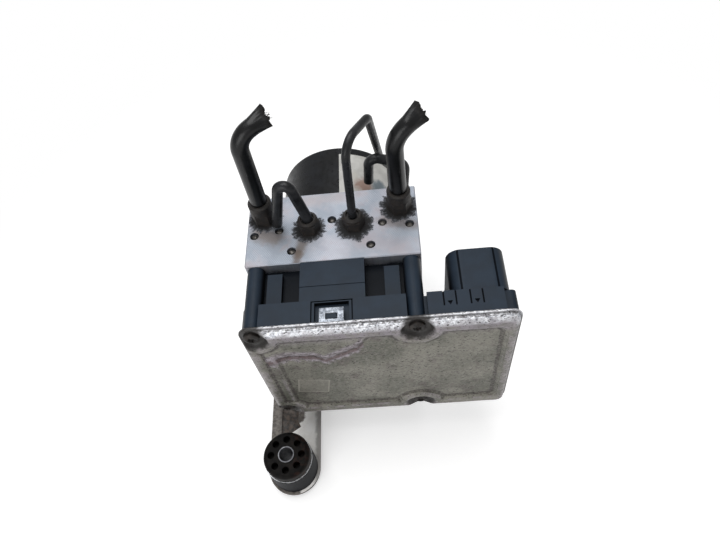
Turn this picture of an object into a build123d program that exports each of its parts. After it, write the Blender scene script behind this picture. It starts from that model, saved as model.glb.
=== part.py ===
"""Anti-lock brake hydraulic unit with its pump motor, control unit, cut brake pipes and bracket.

Millimetres, +Z up. The pump motor points to +Y and the control unit's cover faces -Y.
The origin is on the axis of the front bush, in the plane of the three bushes' lower faces.
"""
from build123d import *
from math import cos, radians, sin, sqrt
import os

os.makedirs("parts", exist_ok=True)

# ---------------------------------------------------------------- driving dimensions
# Hydraulic block
block_width = 100.0
block_depth = 50.0
block_height = 110.0
block_left = -4.5           # left face, from the front bush's axis
block_front = 72.5          # front face, from the front bush's axis
block_bottom = 39.0         # underside, above the bushes' lower faces
block_chamfer = 0.6

# Ports and galleries of the block
port_outer_pitch = 80.0     # between the two outer pipe ports
port_inner_pitch = 26.0     # between the two inner pipe ports
port_outer_depth = 34.0     # port axis behind the front face
port_inner_depth = 24.0
port_thread_radius = 5.0
port_thread_length = 14.0
port_drill_radius = 2.2
port_drill_length = 24.0
inlet_pitch = 87.0          # between the two ports on the motor side
inlet_below_top = 16.0
inlet_thread_length = 9.0
plug_radius = 2.6
plug_sink = 0.3
plug_bore_clearance = 0.05
plug_edge_left = 4.5        # plugs next to the block's sides
plug_edge_right = 5.0
plug_edge_depth = 21.4
# The other plugs, from the block's middle and its front face
plug_offsets = [(-31.0, 24.0), (29.5, 24.0), (-23.2, 8.6), (22.2, 8.8), (0.0, 29.0)]
gallery_length = 20.0

# Pipes and their nuts
pipe_radius = 2.4
pipe_bore = 1.6
wide_pipe_radius = 3.1      # the short pipe and the rear pipe
wide_pipe_bore = 2.2
outer_nut_across_flats = 12.5
outer_nut_hexagon = 9.0     # height of the hexagon, below a round collar
outer_collar_radius = 6.8
outer_collar_height = 7.0
inner_nut_across_flats = 11.5
inner_nut_hexagon = 7.0
inner_collar_radius = 5.7
inner_collar_height = 2.3
inner_mouth_radius = 4.0    # counterbore round the pipe
inner_mouth_depth = 1.5
inlet_nut_across_flats = 11.0
inlet_nut_height = 8.5
nut_chamfer = 1.0
nut_bore_clearance = 0.15
nut_thread_clearance = 0.05
sleeve_radius = 4.85
sleeve_pipe_clearance = 0.1
flare_radius = 4.2
flare_height = 2.5
nut_straight = 1.5          # straight pipe above its nut, before the first bend
first_bend = 12.0
# Courses: corners as offsets from the port at the block's face, with the bend radii
short_course = [(-8.2, 2.0, 50.5), (-18.7, 2.8, 3.0)]
short_bends = [first_bend, 4.0]
tall_course = [(2.0, 0.3, 64.3), (13.8, 25.3, 56.8), (17.2, 54.4, -1.5)]
tall_bends = [first_bend, 9.0, 6.0]
rear_course = [(0.0, 11.0, 0.0), (2.1, 16.5, 18.0), (-19.6, 16.0, 27.2), (-21.4, 16.0, 5.6)]
rear_bends = [4.0, 6.0, 5.0]
sleeve_left_course = [(-0.2, 1.0, 63.7), (16.0, 9.0, 70.0)]
sleeve_left_bends = [first_bend, 12.0]
sleeve_right_course = [(-0.5, 0.0, 54.7), (14.5, 6.0, 66.0)]
sleeve_right_bends = [first_bend, 16.0]
sleeve_overhang = 9.0       # torn sleeve beyond the end of its pipe

# Long screws through cover and housing into the block
screw_inset_x = 5.8
screw_inset_z = 6.0
screw_radius = 2.4
screw_head_radius = 4.4
screw_head_height = 2.6
screw_bite = 10.0
screw_clearance = 0.3
drive_lobe = 1.1
drive_depth = 1.6
head_chamfer = 0.5

# Control unit housing
housing_width = 148.0
rim_depth = 14.6
coil_depth = 25.4
rim_inset = 4.0             # rim's top and bottom inside the block's height
wall = 3.0
floor_thickness = 2.5
column_radius = 5.0
ledge_left = 10.0           # where the raised ledge starts, from the block's left face
ledge_right = 89.5
wing_reach = 12.8           # right ledge beyond the shroud's left side
pocket_depth = 8.0          # coil chamber's top below the block's top
centre_block_left = 32.0
centre_block_right = 68.0
centre_step = 0.4
rib_left = 13.0
rib_right = 78.6
rib_width = 8.4
rib_drop = 4.0
rim_corner = 3.0
centre_step_length = 9.3    # lower front part of the centre block
chamber_margin = 2.0        # coil chamber inside the block's sides
groove_depth = 0.8          # thin moulded outlines
groove_width = 0.7
snap_offsets = (-4.6, 9.5)      # snaps on the right ledge, from the shroud's left side
snap_width = 7.4
snap_length = 9.0
snap_groove = 0.9
snap_dot_radius = 1.7
snap_dot_back = 7.1         # dot's middle in front of the ledge's back edge

# Connector shroud
shroud_inset = 2.9          # from the housing's right end
shroud_width = 31.8
shroud_height = 78.0
shroud_length = 26.2
shroud_wall = 2.2
shroud_corner = 8.0
shroud_drop = 0.6

# Cover
cover_margin_x = 0.9
cover_margin_z = 2.0
cover_flange = 1.6
cover_sheet = 1.5
cover_height = 5.5
cover_shoulder = 3.4
cover_corner = 7.0
border_left = 9.6
border_right = 8.6
border_height = 11.5
pan_inset = 0.8
field_step = 1.0
step_width = 2.0
left_step_width = 5.0
dimple_radius = 6.5
dimple_lip_radius = 9.5
dimple_ring_radius = 13.0
dimple_depth = 4.0

# Snap tab of the cover
tab_left = 43.1
tab_width = 13.3
tab_reach = 9.0
tab_drop = 0.8              # below the cover's top edge
tab_sheet = 1.5
tab_window_width = 6.4
tab_window_depth = 3.4
tab_window_back = 3.9       # window's centre behind the housing's front
tab_nub_gap = 0.4
recess_side = 2.7
recess_length = 12.8
recess_depth = 3.0
outline_margin = 2.0        # outline beyond the recess's sides
outline_back = 1.3          # and beyond its back

# Seals
seal_width = 1.2
seal_height = 1.2
seal_clearance = 0.05
seal_hole_wall = 0.5        # between a screw hole and the seal that goes round it

# Circuit board and connector pins
board_gap = 5.5             # from the cover's seat to the board's front
board_thickness = 1.6
board_margin = 1.5
chip_height = 1.4
pin_pitch = 4.0
pins_per_row = 12
pin_size = 0.8
pin_reach = 12.0            # pins' length inside the shroud
blade_width = 5.0
blade_offset = 28.0
terminal_radius = 0.5
terminal_offset = 6.0
lead_wire = 0.9
lead_pitch = 3.6
lead_offset = 33.0          # below the motor's axis
lead_radius = 3.8
post_radius = 3.0
post_inset_left = 22.0
post_inset_right = 9.5
post_inset_z = 9.0

# Valves and coils
valve_row_gap = 44.0
valve_radius = 5.0
valve_flange_radius = 6.5
valve_flange_depth = 3.0
valve_insert = 20.0
dome_radius = 4.4
dome_wall = 0.5
dome_length = 22.0
armature_end = 5.0          # armature space's rear end, in front of the block's face
armature_length = 15.0
armature_stroke = 0.4
armature_clearance = 0.05
needle_radius = 1.0
needle_bore = 21.0
needle_tip_gap = 1.0
valve_seat_radius = 0.6
spring_pocket = 5.0
spring_pocket_radius = 2.3
valve_spring_radius = 1.7
valve_spring_wire = 0.25
valve_spring_pitch = 1.2
coil_radius = 9.0
coil_length = 20.0
coil_wall = 1.3
coil_side_gap = 3.0         # between the outer coils and the chamber's walls
coil_ahead = 2.0            # coil's front beyond the valve's dome

# Pump
pump_depth = 36.0           # pump axis behind the block's front face
piston_radius = 4.0
piston_length = 18.0
piston_clearance = 0.03
piston_stroke = 1.4
piston_chamfer = 0.4
pump_spring_radius = 3.0
pump_spring_wire = 0.5
pump_spring_pitch = 2.0
pump_cap_radius = 8.0
pump_cap_length = 10.0
pump_cap_socket = 3.0
chamber_radius = 14.0
chamber_depth = 28.0

# Accumulators
accumulator_pitch = 50.0
accumulator_depth = 25.0    # axis behind the block's front face
accumulator_radius = 9.0
accumulator_length = 26.0
accumulator_piston_length = 10.0
accumulator_piston_wall = 1.6
accumulator_spring_radius = 6.4
accumulator_spring_wire = 0.8
accumulator_spring_pitch = 3.6
accumulator_cap_radius = 10.5
accumulator_cap_thickness = 3.0

# Motor
motor_radius = 40.5
motor_length = 53.5
motor_wall = 2.2
motor_plate = 3.0
motor_screw_circle = 46.5
motor_screw_radius = 2.4
motor_flange = 1.5          # end plate beyond the can
ear_margin = 3.0            # round a motor screw
spigot_margin = 6.0         # end plate's spigot beyond the bearing
bearing_lip = 1.0
can_edge = 3.0
rear_boss_end = 1.0
shaft_radius = 4.0
collar_radius = 6.5
bearing_radius = 11.0
bearing_width = 7.0
running_clearance = 0.03
eccentric_offset = 0.7
eccentric_radius = 5.0
ring_radius = 9.0
ring_width = 9.0
core_radius = 31.5
core_length = 24.0
magnet_thickness = 4.6
magnet_angle = 130.0
magnet_overhang = 2.0
slot_count = 12
slot_deep = 13.0
slot_wide = 5.0
slot_lip = 3.0
slot_mouth = 1.7
winding_head = 5.0
commutator_radius = 9.5
commutator_length = 8.0
commutator_gap = 1.0        # behind the front bearing, and before the winding
segment_slit = 0.6
segment_depth = 0.8
brush_gap = 0.3
brush_length = 8.0
brush_width = 5.0
brush_spring_radius = 1.7
brush_spring_wire = 0.3
brush_spring_length = 6.0
brush_spring_pitch = 1.2
guide_wall = 1.0
seal_ring_inset = 1.0       # motor seal's outer edge inside the can's radius
label_start = 34.0          # degrees round the can, from +X towards +Z
label_angle = 52.0
label_inset = 7.5           # from the can's back
label_length = 34.0
label_thickness = 0.15

# Bracket and bushes
sheet = 3.0
arm_width = 35.0
arm_level = 5.0             # underside of the arms above the bushes' lower faces
bead_depth = 1.0
rear_bush_x = 5.0
rear_bush_y = 150.0
side_bush_x = 115.0
side_bush_y = 92.0
bush_disc_radius = 15.4
bush_disc_thickness = 8.0
bush_disc_fillet = 2.8
bush_body_radius = 16.0
bush_neck_radius = 9.0
bush_foot_radius = 14.0
bush_top = 38.5
bush_hole_radius = 2.35
bush_hole_circle_radius = 10.0
bush_hole_depth = 7.0
bush_ring_thickness = 1.0
bush_ring_radius = 15.8
bush_ring_bore = 13.0
bush_sleeve_proud = 0.5
bush_hole_count = 8
sleeve_bore_radius = 4.6
bush_sleeve_radius = 5.2
bracket_screw_radius = 3.0
bracket_screw_head = 6.0
bracket_screw_head_height = 5.0
bracket_screw_depth = 12.0
bracket_screw_pitch = 72.0
bracket_screw_front = 14.0  # from the block's front face
bracket_screw_back = 30.0
bend_radius = 4.0
front_web_y = 76.0          # mid planes of the three bent webs
rear_web_y = 119.0
side_web_x = 94.0
seat_margin = 2.0
front_bead = [
    (-10.5, 72.0),
    (1.5, 72.0),
    (1.5, 33.0),
    (3.5, 29.0),
    (-3.5, 24.5),
    (-8.0, 17.0),
    (-10.5, 15.0),
]

# Clearances shared by several fits
slip = 0.1                  # between still pieces that slide together when built
press = 0.02                # between pressed pieces

# ---------------------------------------------------------------- derived places
block_right = block_left + block_width
block_back = block_front + block_depth
block_top = block_bottom + block_height
centre_x = block_left + block_width / 2
centre_z = block_bottom + block_height / 2

housing_front = block_front - coil_depth - rim_depth
floor_back = block_front - coil_depth
floor_front = floor_back - floor_thickness
rim_top = block_top - rim_inset
rim_bottom = block_bottom + rim_inset
housing_right = block_left + housing_width
shroud_left = housing_right - shroud_inset - shroud_width
shroud_x = shroud_left + shroud_width / 2
rim_centre_x = block_left + housing_width / 2

cover_front = housing_front - cover_height
cover_width = housing_width + 2 * cover_margin_x
cover_tall = block_height + 2 * cover_margin_z
seat_y = cover_front + dimple_depth

screw_spots = [
    (x, z)
    for x in (block_left + screw_inset_x, block_right - screw_inset_x)
    for z in (block_bottom + screw_inset_z, block_top - screw_inset_z)
]
outer_ports = [(centre_x + s * port_outer_pitch / 2, block_front + port_outer_depth) for s in (-1, 1)]
inner_ports = [(centre_x + s * port_inner_pitch / 2, block_front + port_inner_depth) for s in (-1, 1)]
top_ports = outer_ports + inner_ports
top_pipe_radii = [pipe_radius, pipe_radius, wide_pipe_radius, pipe_radius]
outer_nut_height = outer_nut_hexagon + outer_collar_height
inner_nut_height = inner_nut_hexagon + inner_collar_height
inlet_z = block_top - inlet_below_top
inlet_spots = [(centre_x + s * inlet_pitch / 2, inlet_z) for s in (-1, 1)]

plug_spots = [
    (block_left + plug_edge_left, block_front + plug_edge_depth),
    (block_right - plug_edge_right, block_front + plug_edge_depth),
] + [(centre_x + x, block_front + y) for x, y in plug_offsets]

valve_pitch_x = (block_width - 2 * (chamber_margin + wall + coil_side_gap + coil_radius)) / 3
valve_columns = [centre_x + (i - 1.5) * valve_pitch_x for i in range(4)]
inlet_row = centre_z + valve_row_gap / 2
outlet_row = centre_z - valve_row_gap / 2
valve_spots = [(x, z) for z in (inlet_row, outlet_row) for x in valve_columns]
dome_front = block_front - dome_length

board_front = housing_front + board_gap
board_back = board_front + board_thickness

pump_y = block_front + pump_depth
ring_front = pump_y - ring_width / 2
space_back = block_front - armature_end
space_front = dome_front + dome_wall
inlet_rest = space_back - slip - armature_stroke
outlet_rest = space_back - slip
needle_length = needle_bore - needle_tip_gap
valve_spring_length = spring_pocket - 2 * valve_spring_wire - 3 * slip
piston_inner = ring_radius + eccentric_offset + 2 * piston_clearance
piston_outer = piston_inner + piston_length
pump_cap_inner = block_width / 2 - pump_cap_length

accumulator_spots = [
    (centre_x + s * accumulator_pitch / 2, block_front + accumulator_depth) for s in (-1, 1)
]
accumulator_top = block_bottom + accumulator_length

motor_back = block_back + motor_length
plate_back = block_back + motor_plate
spigot_front = block_back - motor_plate
front_bearing_end = spigot_front + bearing_lip + bearing_width
can_inside = motor_back - motor_wall
rear_bearing_y = motor_back - motor_wall + 2 * bearing_lip
rear_bearing_end = rear_bearing_y + bearing_width
motor_screw_spots = [
    (centre_x + motor_screw_circle * cos(radians(a)), centre_z + motor_screw_circle * sin(radians(a)))
    for a in (30, 150, 270)
]
commutator_y = front_bearing_end + commutator_gap
commutator_end = commutator_y + commutator_length
core_y = commutator_end + commutator_gap + winding_head
core_end = core_y + core_length
lead_z = centre_z - lead_offset

bush_spots = [(0.0, 0.0), (rear_bush_x, rear_bush_y), (side_bush_x, side_bush_y)]
arm_top = arm_level + sheet
seat_bottom = block_bottom - sheet
bracket_screw_spots = [
    (centre_x - bracket_screw_pitch / 2, block_front + bracket_screw_front),
    (centre_x + bracket_screw_pitch / 2, block_front + bracket_screw_front),
    (centre_x, block_front + bracket_screw_back),
]

accumulator_spring_length = (
    accumulator_length
    - accumulator_cap_thickness
    - accumulator_piston_length / 2
    - 2 * accumulator_spring_wire
    - 3 * slip
)
magnet_outer = motor_radius - motor_wall - slip
magnet_inner = magnet_outer - magnet_thickness
slot_middle = core_radius - slot_lip - slot_deep / 2
brush_inner = commutator_radius + brush_gap
brush_outer = brush_inner + brush_length
guide_end = brush_outer + brush_spring_length + 2 * slip


def level(z):
    """Horizontal plane at height z: sketches in X and Y, extrudes upwards."""
    return Plane.XY.offset(z)


def front_plane(y):
    """Upright plane at depth y: sketches in X and Z, extrudes forwards, to -Y."""
    return Plane.XZ.offset(-y)


def side_plane(x):
    """Upright plane at x: sketches in Y and Z, extrudes to +X."""
    return Plane.YZ.offset(x)


def save(builder, name):
    """Label a finished piece and write it as its own STEP file."""
    builder.part.label = name
    export_step(builder.part, "parts/" + name + ".step")


def seal_band(middle, width, tall, shrink=0.0):
    """Closed band along a rectangle's edge that goes round the screw holes in its way."""
    hole = screw_radius + screw_clearance + seal_hole_wall
    outer = Pos(*middle) * Rectangle(width + seal_width - 2 * shrink, tall + seal_width - 2 * shrink)
    inner = Pos(*middle) * Rectangle(width - seal_width + 2 * shrink, tall - seal_width + 2 * shrink)
    for spot in screw_spots:
        outer -= Pos(*spot) * Circle(hole + shrink)
        inner -= Pos(*spot) * Circle(hole + seal_width - shrink)
    return outer - inner


def bent_tube(points, bends, radius, bore):
    """Round tube swept along a bent centre line."""
    course = FilletPolyline(*points, radius=bends)
    section = Plane(origin=course @ 0, z_dir=course % 0) * (Circle(radius) - Circle(bore))
    return sweep(section, path=course)


# ---------------------------------------------------------------- hydraulic block
with BuildPart() as hydraulic_block:
    with BuildSketch(level(block_bottom)):
        with Locations((centre_x, block_front + block_depth / 2)):
            Rectangle(block_width, block_depth)
    extrude(amount=block_height)
    chamfer(hydraulic_block.edges(), length=block_chamfer)
    # Pipe ports from above, each with its drilled gallery
    with BuildSketch(level(block_top)):
        with Locations(*top_ports):
            Circle(port_thread_radius)
    extrude(amount=-port_thread_length, mode=Mode.SUBTRACT)
    with BuildSketch(level(block_top)):
        with Locations(*top_ports):
            Circle(port_drill_radius)
    extrude(amount=-port_drill_length, mode=Mode.SUBTRACT)
    # Short galleries closed by pressed balls
    with BuildSketch(level(block_top)):
        with Locations(*plug_spots):
            Circle(plug_radius + plug_bore_clearance)
    extrude(amount=-gallery_length, mode=Mode.SUBTRACT)
    # Two inlets on the motor side
    with BuildSketch(front_plane(block_back)):
        with Locations(*inlet_spots):
            Circle(port_thread_radius)
    extrude(amount=inlet_thread_length, mode=Mode.SUBTRACT)
    # Valve bores with their flange recesses
    with BuildSketch(front_plane(block_front)):
        with Locations(*valve_spots):
            Circle(valve_radius + press)
    extrude(amount=-valve_insert - slip, mode=Mode.SUBTRACT)
    with BuildSketch(front_plane(block_front)):
        with Locations(*valve_spots):
            Circle(valve_flange_radius + press)
    extrude(amount=-valve_flange_depth, mode=Mode.SUBTRACT)
    # Housing screws
    with BuildSketch(front_plane(block_front)):
        with Locations(*screw_spots):
            Circle(screw_radius + press)
    extrude(amount=-screw_bite - 2 * slip, mode=Mode.SUBTRACT)
    # Eccentric chamber and the motor's spigot recess
    with BuildSketch(front_plane(block_back)):
        with Locations((centre_x, centre_z)):
            Circle(chamber_radius)
    extrude(amount=chamber_depth, mode=Mode.SUBTRACT)
    with BuildSketch(front_plane(block_back)):
        with Locations((centre_x, centre_z)):
            Circle(bearing_radius + spigot_margin + slip)
    extrude(amount=motor_plate + slip, mode=Mode.SUBTRACT)
    # Pump bore from side to side, with the cap seats
    with BuildSketch(side_plane(block_left)):
        with Locations((pump_y, centre_z)):
            Circle(piston_radius + piston_clearance)
    extrude(amount=block_width, mode=Mode.SUBTRACT)
    for face_x, inwards in ((block_left, 1), (block_right, -1)):
        with BuildSketch(side_plane(face_x)):
            with Locations((pump_y, centre_z)):
                Circle(pump_cap_radius + press)
        extrude(amount=inwards * pump_cap_length, mode=Mode.SUBTRACT)
    # Accumulator bores from below
    with BuildSketch(level(block_bottom)):
        with Locations(*accumulator_spots):
            Circle(accumulator_radius + running_clearance)
    extrude(amount=accumulator_length, mode=Mode.SUBTRACT)
    with BuildSketch(level(block_bottom)):
        with Locations(*accumulator_spots):
            Circle(accumulator_cap_radius + press)
    extrude(amount=accumulator_cap_thickness, mode=Mode.SUBTRACT)
    # Bracket screws, motor screws and the motor's lead
    with BuildSketch(level(block_bottom)):
        with Locations(*bracket_screw_spots):
            Circle(bracket_screw_radius + press)
    extrude(amount=bracket_screw_depth, mode=Mode.SUBTRACT)
    with BuildSketch(front_plane(block_back)):
        with Locations(*motor_screw_spots):
            Circle(motor_screw_radius + press)
    extrude(amount=screw_bite, mode=Mode.SUBTRACT)
    with BuildSketch(front_plane(block_back)):
        with Locations((centre_x, lead_z)):
            Circle(lead_radius + slip)
    extrude(amount=block_depth, mode=Mode.SUBTRACT)
save(hydraulic_block, "hydraulic_block")

with BuildPart() as channel_plugs:
    with Locations(*[(x, y, block_top - plug_radius - plug_sink) for x, y in plug_spots]):
        Sphere(plug_radius)
save(channel_plugs, "channel_plugs")

# ---------------------------------------------------------------- control unit housing
rib_front = floor_back
rib_back = block_front - rib_drop
recess_x = block_left + tab_left + tab_width / 2
recess_width = tab_width + 2 * recess_side
recess_floor = block_top - recess_depth
tab_top = block_top + cover_margin_z - tab_drop
board_width = housing_width - 2 * (wall + board_margin)
board_tall = rim_top - rim_bottom - 2 * (wall + board_margin)
chamber_top = block_top - pocket_depth
chamber_bottom = block_bottom + pocket_depth
chamber_left = block_left + chamber_margin
chamber_right = block_right - chamber_margin
chamber_width = chamber_right - chamber_left
chamber_tall = chamber_top - chamber_bottom
shroud_top = block_top - shroud_drop
shroud_z = shroud_top - shroud_height / 2
shroud_back = floor_back + shroud_length
coil_front = dome_front - coil_ahead
coil_back = coil_front + coil_length
pin_rows = [shroud_x - pin_pitch, shroud_x + pin_pitch]
pin_levels = [shroud_z + (i - (pins_per_row - 1) / 2) * pin_pitch for i in range(pins_per_row)]
pin_spots = [(x, z) for x in pin_rows for z in pin_levels]
blade_spots = [(x, shroud_z + s * blade_offset) for x in pin_rows for s in (-1, 1)]
terminal_spots = [(x + s * terminal_offset, z) for x, z in valve_spots for s in (-1, 1)]
lead_spots = [(centre_x + s * lead_pitch / 2, lead_z) for s in (-1, 1)]
post_spots = [
    (x, z)
    for x in (block_left + post_inset_left, housing_right - post_inset_right)
    for z in (rim_bottom + post_inset_z, rim_top - post_inset_z)
]

rim_edge = ((rim_centre_x, centre_z), housing_width - wall, rim_top - rim_bottom - wall)
chamber_edge = ((centre_x, centre_z), chamber_width - wall, chamber_tall - wall)
rim_groove = seal_band(*rim_edge)
chamber_groove = seal_band(*chamber_edge)
rim_seal_band = seal_band(*rim_edge, seal_clearance)
chamber_seal_band = seal_band(*chamber_edge, seal_clearance)

with BuildPart() as ecu_housing:
    # Rim tray
    with BuildSketch(front_plane(floor_back)):
        with Locations((rim_centre_x, centre_z)):
            RectangleRounded(housing_width, rim_top - rim_bottom, rim_corner)
    extrude(amount=rim_depth)
    # Raised ledges of the rim, above and below
    for left, right in (
        (block_left + ledge_left, block_left + ledge_right),
        (shroud_left - wing_reach, housing_right - cover_corner),
    ):
        for edge in (rim_top - wall, block_bottom):
            with BuildSketch(level(edge)):
                with Locations(((left + right) / 2, (housing_front + floor_back) / 2)):
                    Rectangle(right - left, rim_depth)
            extrude(amount=rim_inset + wall)
    # Coil chamber behind the rim
    with BuildSketch(front_plane(floor_back)):
        with Locations((centre_x, centre_z)):
            Rectangle(chamber_width, chamber_tall)
    extrude(amount=-coil_depth)
    # Centre block, with its step, and two lower ribs on the chamber's top
    for front, back, top in (
        (floor_back, floor_back + centre_step_length, block_top - centre_step),
        (floor_back + centre_step_length, block_front, block_top),
    ):
        with BuildSketch(level(chamber_top - wall)):
            with Locations((block_left + (centre_block_left + centre_block_right) / 2, (front + back) / 2)):
                Rectangle(centre_block_right - centre_block_left, back - front)
        extrude(amount=top - chamber_top + wall)
    for rib in (rib_left, rib_right):
        with BuildSketch(level(chamber_top - wall)):
            with Locations((block_left + rib + rib_width / 2, (rib_front + rib_back) / 2)):
                Rectangle(rib_width, rib_back - rib_front)
        extrude(amount=pocket_depth - rib_drop + wall)
    # Screw columns
    with BuildSketch(front_plane(block_front)):
        with Locations(*screw_spots):
            Circle(column_radius)
    extrude(amount=coil_depth + rim_depth)
    # Board space and coil space
    with BuildSketch(front_plane(floor_front)):
        with Locations((rim_centre_x, centre_z)):
            Rectangle(housing_width - 2 * wall, rim_top - rim_bottom - 2 * wall)
        with Locations(*screw_spots):
            Circle(column_radius, mode=Mode.SUBTRACT)
    extrude(amount=rim_depth - floor_thickness, mode=Mode.SUBTRACT)
    with BuildSketch(front_plane(floor_back)):
        with Locations((centre_x, centre_z)):
            Rectangle(chamber_width - 2 * wall, chamber_tall - 2 * wall)
        with Locations(*screw_spots):
            Circle(column_radius, mode=Mode.SUBTRACT)
    extrude(amount=-coil_depth, mode=Mode.SUBTRACT)
    # Connector shroud, open to the back
    with BuildSketch(front_plane(floor_back)):
        with Locations((shroud_x, shroud_z)):
            RectangleRounded(shroud_width, shroud_height, shroud_corner)
    extrude(amount=-shroud_length)
    with BuildSketch(front_plane(shroud_back)):
        with Locations((shroud_x, shroud_z)):
            RectangleRounded(
                shroud_width - 2 * shroud_wall, shroud_height - 2 * shroud_wall, shroud_corner - shroud_wall
            )
    extrude(amount=shroud_length, mode=Mode.SUBTRACT)
    # Recess for the cover's snap tab, with the nub that the tab's window catches
    with BuildSketch(level(recess_floor)):
        with Locations((recess_x, housing_front + recess_length / 2)):
            Rectangle(recess_width, recess_length)
    extrude(amount=rim_inset, mode=Mode.SUBTRACT)
    with BuildSketch(level(recess_floor)):
        with Locations((recess_x, housing_front + tab_window_back)):
            Rectangle(tab_window_width - 2 * tab_nub_gap, tab_window_depth - 2 * tab_nub_gap)
    extrude(amount=tab_top - tab_nub_gap - recess_floor)
    # Thin moulded outlines on the ledges
    with BuildSketch(level(block_top - groove_depth)):
        with Locations((recess_x, housing_front + (recess_length + outline_back) / 2)):
            Rectangle(recess_width + 2 * outline_margin, recess_length + outline_back)
        with Locations((recess_x, housing_front + (recess_length + outline_back - groove_width) / 2)):
            Rectangle(
                recess_width + 2 * (outline_margin - groove_width),
                recess_length + outline_back - groove_width,
                mode=Mode.SUBTRACT,
            )
        for snap in snap_offsets:
            snap_x = shroud_left + snap + snap_width / 2
            with Locations((snap_x, floor_back - snap_length / 2)):
                with GridLocations(snap_width - snap_groove, 0, 2, 1):
                    Rectangle(snap_groove, snap_length)
            with Locations((snap_x, floor_back - snap_dot_back)):
                RegularPolygon(snap_dot_radius, 3, rotation=-90)
    extrude(amount=rim_inset, mode=Mode.SUBTRACT)
    # Grooves for the two seals
    with BuildSketch(front_plane(housing_front)):
        add(rim_groove)
    extrude(amount=-seal_height, mode=Mode.SUBTRACT)
    with BuildSketch(front_plane(block_front)):
        add(chamber_groove)
    extrude(amount=seal_height, mode=Mode.SUBTRACT)
    # Screw holes, coil terminal holes, the motor lead's hole and the connector pins' holes
    with BuildSketch(front_plane(block_front)):
        with Locations(*screw_spots):
            Circle(screw_radius + screw_clearance)
    extrude(amount=coil_depth + rim_depth, mode=Mode.SUBTRACT)
    with BuildSketch(front_plane(floor_back)):
        with Locations(*terminal_spots):
            Circle(terminal_radius + slip)
        with Locations(*lead_spots):
            Circle(lead_wire + slip)
        with Locations(*pin_spots):
            Rectangle(pin_size + slip, pin_size + slip)
        with Locations(*blade_spots):
            Rectangle(pin_size + slip, blade_width + slip)
    extrude(amount=floor_thickness, mode=Mode.SUBTRACT)
    # Posts that carry the board
    with BuildSketch(front_plane(floor_front)):
        with Locations(*post_spots):
            Circle(post_radius)
    extrude(amount=floor_front - board_back)
save(ecu_housing, "ecu_housing")

# ---------------------------------------------------------------- seals
with BuildPart() as cover_seal:
    with BuildSketch(front_plane(housing_front + seal_height)):
        add(rim_seal_band)
    extrude(amount=seal_height)
save(cover_seal, "cover_seal")

with BuildPart() as chamber_seal:
    with BuildSketch(front_plane(block_front)):
        add(chamber_seal_band)
    extrude(amount=seal_height)
save(chamber_seal, "chamber_seal")

# ---------------------------------------------------------------- cover
cover_left = block_left - cover_margin_x
field_left = cover_left + border_left
field_right = cover_left + cover_width - border_right
field_tall = cover_tall - 2 * border_height
# Raised corner of the field: offsets from the cover's left edge and its middle height
plateau_outline = [
    (0.0, 24.0),
    (11.2, 25.9),
    (22.9, 30.4),
    (37.1, 28.2),
    (42.5, 23.5),
    (61.3, 35.5),
    (68.9, 47.2),
    (75.0, 60.0),
    (0.0, 60.0),
]

with BuildPart() as ecu_cover:
    # Flange and raised pan
    with BuildSketch(front_plane(housing_front)):
        with Locations((rim_centre_x, centre_z)):
            RectangleRounded(cover_width, cover_tall, cover_corner)
    extrude(amount=cover_flange)
    with BuildSketch(front_plane(housing_front - cover_flange)):
        with Locations((rim_centre_x, centre_z)):
            RectangleRounded(
                cover_width - 2 * pan_inset, cover_tall - 2 * pan_inset, cover_corner - pan_inset
            )
    extrude(amount=cover_height - cover_flange)
    fillet(ecu_cover.faces().sort_by(Axis.Y)[0].edges(), radius=cover_shoulder)
    # Two recessed levels of the field, clear of the screw dimples
    with BuildSketch(front_plane(cover_front)):
        with Locations(((field_left + field_right) / 2, centre_z)):
            Rectangle(field_right - field_left + 2 * step_width, field_tall + step_width)
        with Locations(*screw_spots):
            Circle(dimple_ring_radius, mode=Mode.SUBTRACT)
    extrude(amount=-field_step, mode=Mode.SUBTRACT)
    with BuildSketch(front_plane(cover_front + field_step)):
        with Locations(((field_left + left_step_width + field_right) / 2, centre_z)):
            Rectangle(field_right - field_left - left_step_width, field_tall - step_width)
        with Locations(*screw_spots):
            Circle(dimple_ring_radius + step_width / 2, mode=Mode.SUBTRACT)
        with BuildLine():
            Polyline([(cover_left + x, centre_z + z) for x, z in plateau_outline], close=True)
        make_face(mode=Mode.SUBTRACT)
    extrude(amount=-field_step, mode=Mode.SUBTRACT)
    # Inside of the cover over the board
    with BuildSketch(front_plane(housing_front)):
        with Locations((rim_centre_x, centre_z)):
            Rectangle(housing_width - 2 * wall, rim_top - rim_bottom - 2 * wall)
        with Locations(*screw_spots):
            Circle(dimple_lip_radius + cover_sheet, mode=Mode.SUBTRACT)
    extrude(amount=housing_front - cover_front - 2 * field_step - cover_sheet, mode=Mode.SUBTRACT)
    # Screw dimples, wider towards the front, with their holes
    for x, z in screw_spots:
        with BuildSketch(front_plane(seat_y)):
            with Locations((x, z)):
                Circle(dimple_radius)
        with BuildSketch(front_plane(cover_front)):
            with Locations((x, z)):
                Circle(dimple_lip_radius)
        loft(mode=Mode.SUBTRACT)
    with BuildSketch(front_plane(housing_front)):
        with Locations(*screw_spots):
            Circle(screw_radius + screw_clearance)
    extrude(amount=cover_height, mode=Mode.SUBTRACT)
    # Snap tab folded back over the housing's rim
    with BuildSketch(level(tab_top - tab_sheet)):
        with Locations((recess_x, housing_front + (tab_reach - cover_flange) / 2)):
            Rectangle(tab_width, tab_reach + cover_flange)
        with Locations((recess_x, housing_front + tab_window_back)):
            Rectangle(tab_window_width, tab_window_depth, mode=Mode.SUBTRACT)
    extrude(amount=tab_sheet)
save(ecu_cover, "ecu_cover")

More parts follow.
